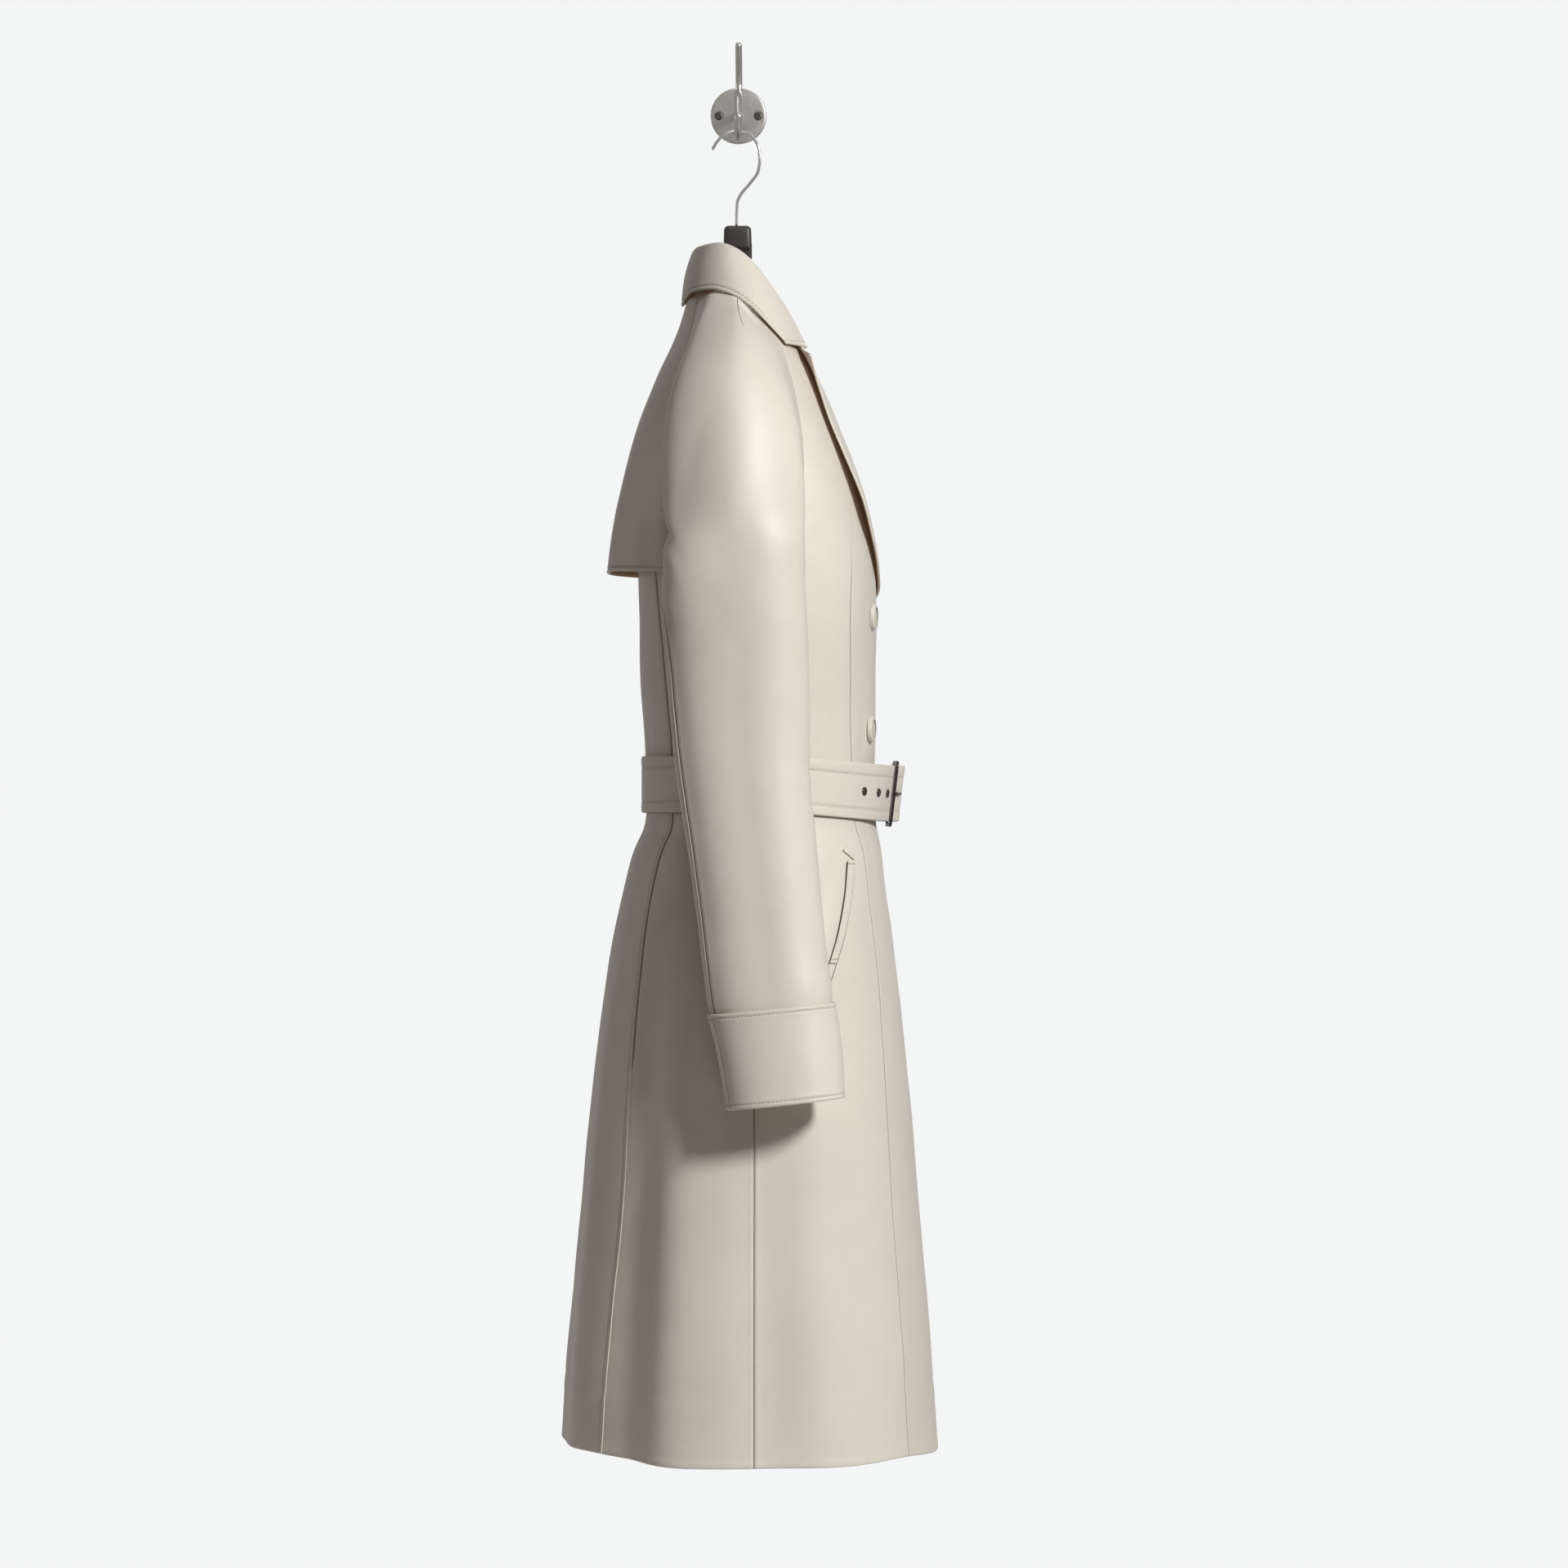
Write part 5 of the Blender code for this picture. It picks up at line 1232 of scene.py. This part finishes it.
def freshForm(kind, name, **settings):
    bpy.ops.object.select_all(action="DESELECT")
    getattr(bpy.ops.mesh, "primitive_" + kind + "_add")(**settings)
    obj = bpy.context.object
    obj.name = obj.data.name = name
    return obj


def select(obj, test):
    # picks the faces whose middle passes the test; edit mode stays on
    bpy.ops.object.mode_set(mode="EDIT")
    work = bmesh.from_edit_mesh(obj.data)
    bpy.ops.mesh.select_all(action="DESELECT")
    bpy.ops.mesh.select_mode(type="FACE")
    for face in work.faces:
        if test(face.calc_center_median(), face.normal):
            face.select = True
    work.select_flush(True)
    bmesh.update_edit_mesh(obj.data)


def endEdit(obj):
    if obj.mode == "EDIT":
        bpy.ops.object.mode_set(mode="OBJECT")


def applyModifier(obj, kind, **settings):
    endEdit(obj)
    bpy.context.view_layer.objects.active = obj
    modifier = obj.modifiers.new(kind.lower(), kind)
    for key, value in settings.items():
        setattr(modifier, key, value)
    bpy.ops.object.modifier_apply(modifier=modifier.name)


def onlySelect(obj):
    bpy.ops.object.select_all(action="DESELECT")
    obj.select_set(True)
    bpy.context.view_layer.objects.active = obj


def settle(obj, spot, facing, material, smoothAngle=35):
    # turns a form made along +Z to face a way, moves it to its spot and clears its transforms
    endEdit(obj)
    if facing is not None:
        obj.rotation_euler = Vector(facing).to_track_quat("Z", "Y").to_euler()
    obj.location = spot
    onlySelect(obj)
    bpy.ops.object.transform_apply(location=True, rotation=True, scale=True)
    outwards(obj)
    bpy.ops.object.shade_smooth_by_angle(angle=math.radians(smoothAngle))
    obj.data.materials.clear()
    obj.data.materials.append(material)
    return obj


def rod(name, path, radius, material, sides=6, roundTips=True):
    # a bar along a path in metres, with rounded tips unless it ends inside another piece
    data = bpy.data.curves.new(name, "CURVE")
    data.dimensions = "3D"
    data.bevel_depth = radius
    data.bevel_resolution = sides
    data.use_fill_caps = True
    spline = data.splines.new("POLY")
    spline.points.add(len(path) - 1)
    run = runOf(np.asarray(path))
    for point, spot, gone in zip(spline.points, path, run):
        point.co = (*spot, 1.0)
        left = min(gone, run[-1] - gone) if roundTips else radius
        point.radius = math.sqrt(max(0.0, 1 - (1 - min(left / radius, 1)) ** 2)) or 0.12
    obj = bpy.data.objects.new(name, data)
    bpy.context.scene.collection.objects.link(obj)
    onlySelect(obj)
    bpy.ops.object.convert(target="MESH")
    obj = bpy.context.object
    return settle(obj, (0, 0, 0), None, material, 50)


def roundedPath(points, step, radius):
    # a smooth path at even steps, with a few close points at each end for a rounded tip
    points = throughPoints(points, 600)
    length = runOf(points)[-1]
    even = np.linspace(0, length, int(length / step) + 2)
    tip = radius * (1 - np.cos(np.linspace(0, math.pi / 2, 7)))
    even = np.concatenate([tip, even[(even > radius) & (even < length - radius)], (length - tip)[::-1]])
    return pointsAt(points, even)


def discForm(name, radius, thick, sides, edge, steps):
    # a round plate standing on its back face, with a rounded front edge
    obj = freshForm("cylinder", name, vertices=sides, radius=radius * mm, depth=thick * mm,
                    location=(0, 0, thick * mm / 2))
    bpy.ops.object.transform_apply(location=True)
    bpy.ops.object.mode_set(mode="EDIT")
    bpy.ops.mesh.select_all(action="DESELECT")
    bpy.ops.mesh.select_mode(type="EDGE")
    work = bmesh.from_edit_mesh(obj.data)
    for line in work.edges:
        if all(v.co.z > thick * 0.9 * mm for v in line.verts):
            line.select = True
    bmesh.update_edit_mesh(obj.data)
    bpy.ops.mesh.bevel(offset=edge * mm, segments=steps)
    return obj


def cutWith(obj, name, spots, radius, depth, sides):
    # takes round or many-sided holes out of a form, from the height given downwards
    endEdit(obj)
    for spot in spots:
        tool = freshForm("cylinder", name, vertices=sides, radius=radius * mm, depth=depth * 2 * mm,
                         location=tuple(c * mm for c in spot))
        bpy.ops.object.transform_apply(location=True)
        applyModifier(obj, "BOOLEAN", operation="DIFFERENCE", object=tool, solver="EXACT")
        bpy.data.objects.remove(tool, do_unlink=True)


hook = {
    "plateRadius": 28.5, "plateThick": 5.0, "plateEdge": 1.6, "seatRadius": 5.3, "seatDeep": 1.4,
    "screwX": 20.0, "screwRadius": 4.2, "screwHigh": 2.6, "screwEdge": 1.3,
    "socketRadius": 1.9, "socketDeep": 1.3,
    "plateSides": 128, "screwSides": 48, "socketSides": 6, "edgeSteps": 5,
    "armRadius": 4.0, "prongRadius": 3.3, "step": 1.5, "sides": 10,
    "armY": (-3.0, -80, -160, -200, -226, -238, -245, -250, -255.5, -262, -270.5, -280, -287.5, -292, -294.5),
    "armZ": (0, 0, 0, 0, 0, -4, -13, -25, -36, -44.5, -48.5, -46, -39, -32, -26),
    "prongY": (-221, -221, -221, -224, -234, -248, -262, -275),
    "prongZ": (1.0, 4.35, 9, 15, 24, 31.5, 37.8, 43),
}
hanger = {
    "wireX": (-26, -21, -13, -3, 7, 15, 19.5, 20.5, 19, 11, 2, -1.5, -2, -2.2),
    "wireZ": (-33, -25, -17.5, -15.1, -16.8, -22.5, -31, -43, -54, -66, -77, -85, -96, -107.7),
    "wireRadius": 1.5, "wireStep": 1.2, "neckTop": -108.0, "neckFoot": -132.7, "neckTopX": 13.2,
    "neckFootX": 14.0, "neckHalfV": 13.0, "neckX": -1.0, "neckRound": 4.5,
    "lipX": (3.0, 14.0), "lipFoot": -139.5, "lipLap": 7.0, "lipHalfV": 10.0, "lipRound": 1.0,
    "neckSteps": 6, "lipSteps": 3,
}


def makeWallHook():
    plate = discForm("hook_plate", hook["plateRadius"], hook["plateThick"], hook["plateSides"],
                     hook["plateEdge"], hook["edgeSteps"])
    seats = [(side * hook["screwX"], 0, hook["plateThick"]) for side in (-1, 1)]
    cutWith(plate, "seat_cutter", seats, hook["seatRadius"], hook["seatDeep"], hook["screwSides"])
    settle(plate, (0, 0, 0), (0, -1, 0), satinNickel)
    for word, x in (("left", -hook["screwX"]), ("right", hook["screwX"])):
        screw = discForm("hook_screw_" + word, hook["screwRadius"], hook["screwHigh"], hook["screwSides"],
                         hook["screwEdge"], hook["edgeSteps"])
        cutWith(screw, "socket_cutter", [(0, 0, hook["screwHigh"])], hook["socketRadius"],
                hook["socketDeep"], hook["socketSides"])
        floor = hook["plateThick"] - hook["seatDeep"]
        settle(screw, (x * mm, -floor * mm, 0), (0, -1, 0), screwSteel)
        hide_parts("screw_" + word)
        finishPiece(screw)
    drift = np.linspace(0, coat["x"], len(hook["armY"]))
    arm = np.stack([drift, hook["armY"], hook["armZ"]], axis=1) * mm
    prong = np.array([(coat["x"], y, z) for y, z in zip(hook["prongY"], hook["prongZ"])]) * mm
    arm, prong = (rod(name, roundedPath(path, hook["step"] * mm, radius * mm), radius * mm,
                      satinNickel, hook["sides"])
                  for name, path, radius in (("hook_arm_rod", arm, hook["armRadius"]),
                                             ("hook_prong_rod", prong, hook["prongRadius"])))
    for obj, node in ((plate, "wall_plate"), (arm, "hook_arm"), (prong, "hook_upper_prong")):
        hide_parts(node)
        finishPiece(obj)


def makeHanger():
    path = place([(x, 0, z) for x, z in zip(hanger["wireX"], hanger["wireZ"])])
    radius = hanger["wireRadius"] * mm
    wire = rod("hanger_wire_rod", roundedPath(path, hanger["wireStep"] * mm, radius), radius, chromeWire)
    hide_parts("hanger_wire")
    finishPiece(wire)
    top, foot = hanger["neckTop"], hanger["neckFoot"]
    neck = freshForm("cube", "hanger_neck_plug", size=1.0)
    neck.scale = (hanger["neckFootX"] * 2 * mm, hanger["neckHalfV"] * 2 * mm, (top - foot) * mm)
    bpy.ops.object.transform_apply(scale=True)
    select(neck, lambda centre, way: way.z > 0.5)
    bpy.ops.transform.resize(value=(hanger["neckTopX"] / hanger["neckFootX"], 1, 1))
    bpy.ops.object.mode_set(mode="OBJECT")
    applyModifier(neck, "BEVEL", width=hanger["neckRound"] * mm, segments=hanger["neckSteps"])
    (near, far), lipTop, lipFoot = hanger["lipX"], foot + hanger["lipLap"], hanger["lipFoot"]
    lip = freshForm("cube", "neck_lip", size=1.0)       # the plug's front, which goes down before the arms
    lip.scale = ((far - near) * mm, hanger["lipHalfV"] * 2 * mm, (lipTop - lipFoot) * mm)
    lip.location = ((far + near) * mm / 2, 0, ((lipTop + lipFoot) / 2 - (top + foot) / 2) * mm)
    bpy.ops.object.transform_apply(location=True, scale=True)
    applyModifier(lip, "BEVEL", width=hanger["lipRound"] * mm, segments=hanger["lipSteps"])
    applyModifier(neck, "BOOLEAN", operation="UNION", object=lip, solver="EXACT")
    bpy.data.objects.remove(lip, do_unlink=True)
    middle = place([(hanger["neckX"], 0, (top + foot) / 2)])[0]
    settle(neck, tuple(middle), None, hangerBlack)
    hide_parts("hanger_neck")
    finishPiece(neck)
    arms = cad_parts["hanger_arms"]
    arms.data.materials.clear()
    arms.data.materials.append(hangerBlack)


button = {
    "radius": 12.5, "thick": 4.0, "edge": 1.3, "rim": 2.2, "dish": 1.1, "dishEdge": 1.0, "hole": 0.95,
    "holeAt": 2.1, "v": 62.0, "upper": -492.0, "lower": -601.0, "gap": 0.3, "threadRadius": 0.42,
    "sides": 72, "edgeSteps": 5, "holeSides": 20, "threadSides": 3, "threadPoints": 24,
    "threadAlong": (-1, -1, -0.6, 0, 0.6, 1, 1), "threadHigh": (-1.6, 0.1, 0.5, 0.6, 0.5, 0.1, -1.6),
}


def makeButtons():
    model = discForm("coat_button", button["radius"], button["thick"], button["sides"], button["edge"],
                     button["edgeSteps"])
    select(model, lambda centre, way: centre.z > button["thick"] * 0.95 * mm and way.z > 0.9)
    for width in (button["rim"], button["dishEdge"]):
        bpy.ops.mesh.inset(thickness=width * mm)
    bpy.ops.transform.translate(value=(0, 0, -button["dish"] * mm))
    holes = [(a * button["holeAt"], b * button["holeAt"], 0) for a in (-1, 1) for b in (-1, 1)]
    cutWith(model, "hole_cutter", holes, button["hole"], button["thick"] * 2, button["holeSides"])
    for side, height in ((s, h) for s in (rightSide, leftSide) for h in ("upper", "lower")):
        word, level = height + "_" + sideWords[side], button[height]
        t = turnAtV(button["v"], level, True)
        way = bodyNormal(t, level, side)
        spot = bodyFolds(bodyPoint(t, level, side)[None])[0] + way * button["gap"]
        obj = model.copy()
        obj.data = model.data.copy()
        obj.name = obj.data.name = "horn_button_" + word
        bpy.context.scene.collection.objects.link(obj)
        settle(obj, tuple(place(spot)), tuple(way), ivoryPlastic)
        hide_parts("button_" + word)
        finishPiece(obj)
        makeButtonThread(word, spot, way)
    bpy.data.objects.remove(model, do_unlink=True)


def makeButtonThread(word, spot, way):
    # two bars of thread across the dish, each through a pair of holes
    turn = Vector(way).to_track_quat("Z", "Y").to_matrix()
    floor = button["thick"] - button["dish"]
    bars = []
    for across in (-1, 1):
        path = []
        for share, high in zip(button["threadAlong"], button["threadHigh"]):
            local = Vector((share * button["holeAt"], across * button["holeAt"], floor + high))
            path.append(place(spot + np.array(turn @ local)))
        path = throughPoints(path, button["threadPoints"])
        bars.append(rod("thread_bar", path, button["threadRadius"] * mm, threadMaterial, button["threadSides"],
                        False))
    onlySelect(bars[0])
    bars[1].select_set(True)
    bpy.ops.object.join()
    thread = bpy.context.object
    thread.name = thread.data.name = "button_thread_" + word
    finishPiece(thread)


buckle = {
    "height": 65.0, "nearV": -23.0, "farV": 27.4, "nearX": 152.2, "farX": 148.6, "bar": 4.2, "corner": 7.0,
    "thick": 2.6, "round": 1.0, "beltX": 148.0,
    "prong": 1.5, "prongV": -2.0, "prongSunk": 1.5, "prongOut": 1.2, "prongGap": 0.3,
    "prongForm": ((0.6, -10.0), (0.7, -16.0), (0, -23.0), (-1.0, -27.0)),      # over the near bar: x, v
    "eyeletV": (-94, -65, -36), "eyeletRadius": 3.3, "eyeletWire": 0.95, "eyeletOut": 0.5,
    "hole": 2.5, "holeThick": 0.5, "holeEdge": 0.1, "prongStep": 0.8,
    "cornerSteps": 7, "roundSteps": 4, "roundFrom": 50, "ringSides": 40, "wireSides": 12, "holeSides": 24,
}


def makeBuckle():
    middle = beltHeight(buckle["beltX"], 0.5)
    lean = belt["tilt"] / (belt["width"] / 2)
    across = Vector((buckle["farX"] - buckle["nearX"], buckle["farV"] - buckle["nearV"], 0))
    width = across.length
    across.normalize()
    out = across.cross(Vector((lean, 0, 1))).normalized()
    up = out.cross(across)
    bars = freshForm("plane", "buckle_bars", size=1.0)
    bars.scale = (width * mm, buckle["height"] * mm, 1)
    bpy.ops.object.transform_apply(scale=True)
    bpy.ops.object.mode_set(mode="EDIT")
    bpy.ops.mesh.select_all(action="SELECT")
    bpy.ops.mesh.bevel(offset=buckle["corner"] * mm, segments=buckle["cornerSteps"], affect="VERTICES")
    select(bars, lambda centre, way: True)
    bpy.ops.mesh.inset(thickness=buckle["bar"] * mm)
    bpy.ops.mesh.delete(type="FACE")
    applyModifier(bars, "SOLIDIFY", thickness=buckle["thick"] * mm, offset=0)
    applyModifier(bars, "BEVEL", width=buckle["round"] * mm, segments=buckle["roundSteps"],
                  limit_method="ANGLE", angle_limit=math.radians(buckle["roundFrom"]))
    centre = ((buckle["nearX"] + buckle["farX"]) / 2, (buckle["nearV"] + buckle["farV"]) / 2, middle)
    turn = np.eye(4)
    turn[:3, 0], turn[:3, 1], turn[:3, 2], turn[:3, 3] = across, up, out, place(centre)
    bars.matrix_world = Matrix(turn.tolist())
    bpy.ops.object.transform_apply(location=True, rotation=True, scale=True)
    settle(bars, (0, 0, 0), None, gunmetal)
    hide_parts("buckle_frame")
    finishPiece(bars)

    start, way = beltSpot(buckle["prongV"])     # the prong comes out of the belt and lies on the near bar
    over = buckle["nearX"] + buckle["thick"] / 2 + buckle["prong"] + buckle["prongGap"]
    path = [start - way * buckle["prongSunk"], start + way * buckle["prongOut"]]
    path += [(over + x, v, start[2]) for x, v in buckle["prongForm"]]
    radius = buckle["prong"] * mm
    prong = rod("buckle_tongue", roundedPath(place(path), buckle["prongStep"] * mm, radius), radius, gunmetal)
    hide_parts("buckle_prong")
    finishPiece(prong)


def makeEyelets():
    for number, v in enumerate(buckle["eyeletV"], 1):
        spot, way = beltSpot(float(v))
        ring = freshForm("torus", "belt_eyelet_%d" % number,
                         major_segments=buckle["ringSides"], minor_segments=buckle["wireSides"],
                         major_radius=buckle["eyeletRadius"] * mm, minor_radius=buckle["eyeletWire"] * mm)
        settle(ring, tuple(place(spot + way * buckle["eyeletOut"])), tuple(way), gunmetal)
        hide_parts("eyelet_%d" % number)
        finishPiece(ring)
        # a dark disc of painted shade inside each eyelet's hole
        hole = discForm("belt_hole_%d" % number, buckle["hole"], buckle["holeThick"], buckle["holeSides"],
                        buckle["holeEdge"], 1)
        settle(hole, tuple(place(spot)), tuple(way), shadedLeather)
        finishPiece(hole)


makeWallHook()
makeHanger()
makeButtons()
makeBuckle()
makeEyelets()
for obj in paintedShadeStrips:
    finishPiece(obj)
print("hard pieces made")


# What each piece of leather stands for, and the size that it was cut to in metres.

cuts = {                        # piece: the node it stands for, width and length of the cut, its area
    "leather_back": ("back_panel", 0.33, 1.16, 0.285),
    "leather_storm_flap": ("storm_flap", 0.35, 0.295, 0.074),
    "leather_collar_fall": ("collar_fall", 0.40, 0.06, 0.0206),
    "leather_collar_stand": ("collar_stand", 0.37, 0.036, 0.008),
    "leather_belt": ("belt", 0.055, 1.0, None),
    "leather_lapel_right": ("lapel_right", 0.125, 0.365, 0.026),
    "leather_lapel_left": ("lapel_left", 0.105, 0.25, 0.015),
}
pairedCuts = {
    "leather_side_back_": ("side_back_", 0.17, 1.20, 0.127),
    "leather_side_front_": ("side_front_", 0.18, 1.165, 0.1425),
    "leather_front_": ("front_", 0.23, 1.135, 0.197),
    "leather_sleeve_top_": ("sleeve_top_", 0.28, 0.80, 0.147),
    "leather_sleeve_under_": ("sleeve_under_", 0.15, 0.525, 0.067),
    "leather_cuff_": ("cuff_", 0.32, 0.09, None),
    "leather_pocket_welt_": ("pocket_welt_", 0.012, 0.105, None),
    "leather_pocket_tab_": ("pocket_tab_", 0.018, 0.01, 0.00012),
}
for start, (node, *cut) in pairedCuts.items():
    for word in sideWords.values():
        cuts[start + word] = (node + word, *cut)
for name, (node, width, length, area) in cuts.items():
    obj, sewing = pieces[name]["obj"], pieces[name].get("sewing", [])
    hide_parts(node)
    finishPiece(obj)
    for thread in sewing:
        finishPiece(thread)


# Floor, light and camera. The wall itself isn't shown, because the coat is looked at from all sides.

room = {
    "floorZ": -1.78, "floorRadius": 1.7, "centre": (0.013, -0.27), "floor": "#F7F6F4", "backdrop": "#F4F5F5",
    "ambient": (1.0, 0.85, 0.72, 1.0), "ambientPower": 0.01,      # what lights the leather from all round
    "mirrored": (1.0, 0.99, 0.98, 1.0), "mirroredPower": 0.45,    # what the shiny pieces reflect
}
floor = freshForm("circle", "studio_floor", vertices=96, radius=room["floorRadius"], fill_type="NGON",
                  location=(*room["centre"], room["floorZ"]))
bpy.ops.object.transform_apply(location=True)
floor.data.materials.append(newMaterial("pale_floor", room["floor"], 0.8)[0])

world = bpy.data.worlds.new("pale_room")
bpy.context.scene.world = world
world.use_nodes = True
tree = world.node_tree
tree.nodes.clear()
ambient = addNode(tree, "ShaderNodeBackground", {"Color": room["ambient"], "Strength": room["ambientPower"]})
mirrored = addNode(tree, "ShaderNodeBackground",
                   {"Color": room["mirrored"], "Strength": room["mirroredPower"]})
backdrop = addNode(tree, "ShaderNodeBackground", {"Color": toLinear(room["backdrop"]), "Strength": 1.0})
rays = addNode(tree, "ShaderNodeLightPath").outputs
unseen = addNode(tree, "ShaderNodeMixShader",
                 links={0: rays["Is Glossy Ray"], 1: ambient.outputs[0], 2: mirrored.outputs[0]})
everything = addNode(tree, "ShaderNodeMixShader",
                     links={0: rays["Is Camera Ray"], 1: unseen.outputs[0], 2: backdrop.outputs[0]})
addNode(tree, "ShaderNodeOutputWorld", links={0: everything.outputs[0]})

lights = {                      # where it stands, where it points, its size in metres, watts and colour
    "key_light": ((2.05, -2.85, 0.85), (0, -0.4, -0.7), 0.7, 110, "#FFFFFF"),
    "front_light": ((-0.3, -2.6, 2.1), (0, -0.4, -0.5), 0.8, 5, "#FFF6EC"),
    "side_light": ((3.2, -1.0, 0.5), (0, -0.3, -0.6), 1.0, 7, "#FFFDFA"),
    "top_light": ((0.1, -1.3, 2.6), (0, -0.3, -0.4), 1.4, 10, "#FFFFFF"),
    "left_light": ((-3.2, 0.5, 0.1), (0, -0.3, -0.7), 1.4, 9, "#FFF5EA"),
    "rear_light": ((0.4, 3.4, 1.2), (0, -0.3, -0.7), 1.6, 40, "#FFFCF8"),
}
for name, (spot, target, size, power, colour) in lights.items():
    data = bpy.data.lights.new(name, "AREA")
    data.shape, data.size, data.energy = "DISK", size, power
    data.color = toLinear(colour)[:3]
    lamp = bpy.data.objects.new(name, data)
    lamp.location = spot
    lamp.rotation_euler = (Vector(target) - Vector(spot)).to_track_quat("-Z", "Y").to_euler()
    bpy.context.scene.collection.objects.link(lamp)
bpy.context.scene.view_settings.view_transform = "Standard"

view = {"x": 0.0464, "z": -0.681, "distance": 6.5, "middleY": -0.27, "lens": 152.4, "sensor": 36.0}
camera = bpy.data.cameras.new("camera")
camera.lens, camera.sensor_width, camera.sensor_height = view["lens"], view["sensor"], view["sensor"]
camera.clip_end = 50
eye = bpy.data.objects.new("camera", camera)
eye.location = (view["x"], view["middleY"] - view["distance"], view["z"])
eye.rotation_euler = (math.pi / 2, 0, 0)
bpy.context.scene.collection.objects.link(eye)
bpy.context.scene.camera = eye
print("stage set")
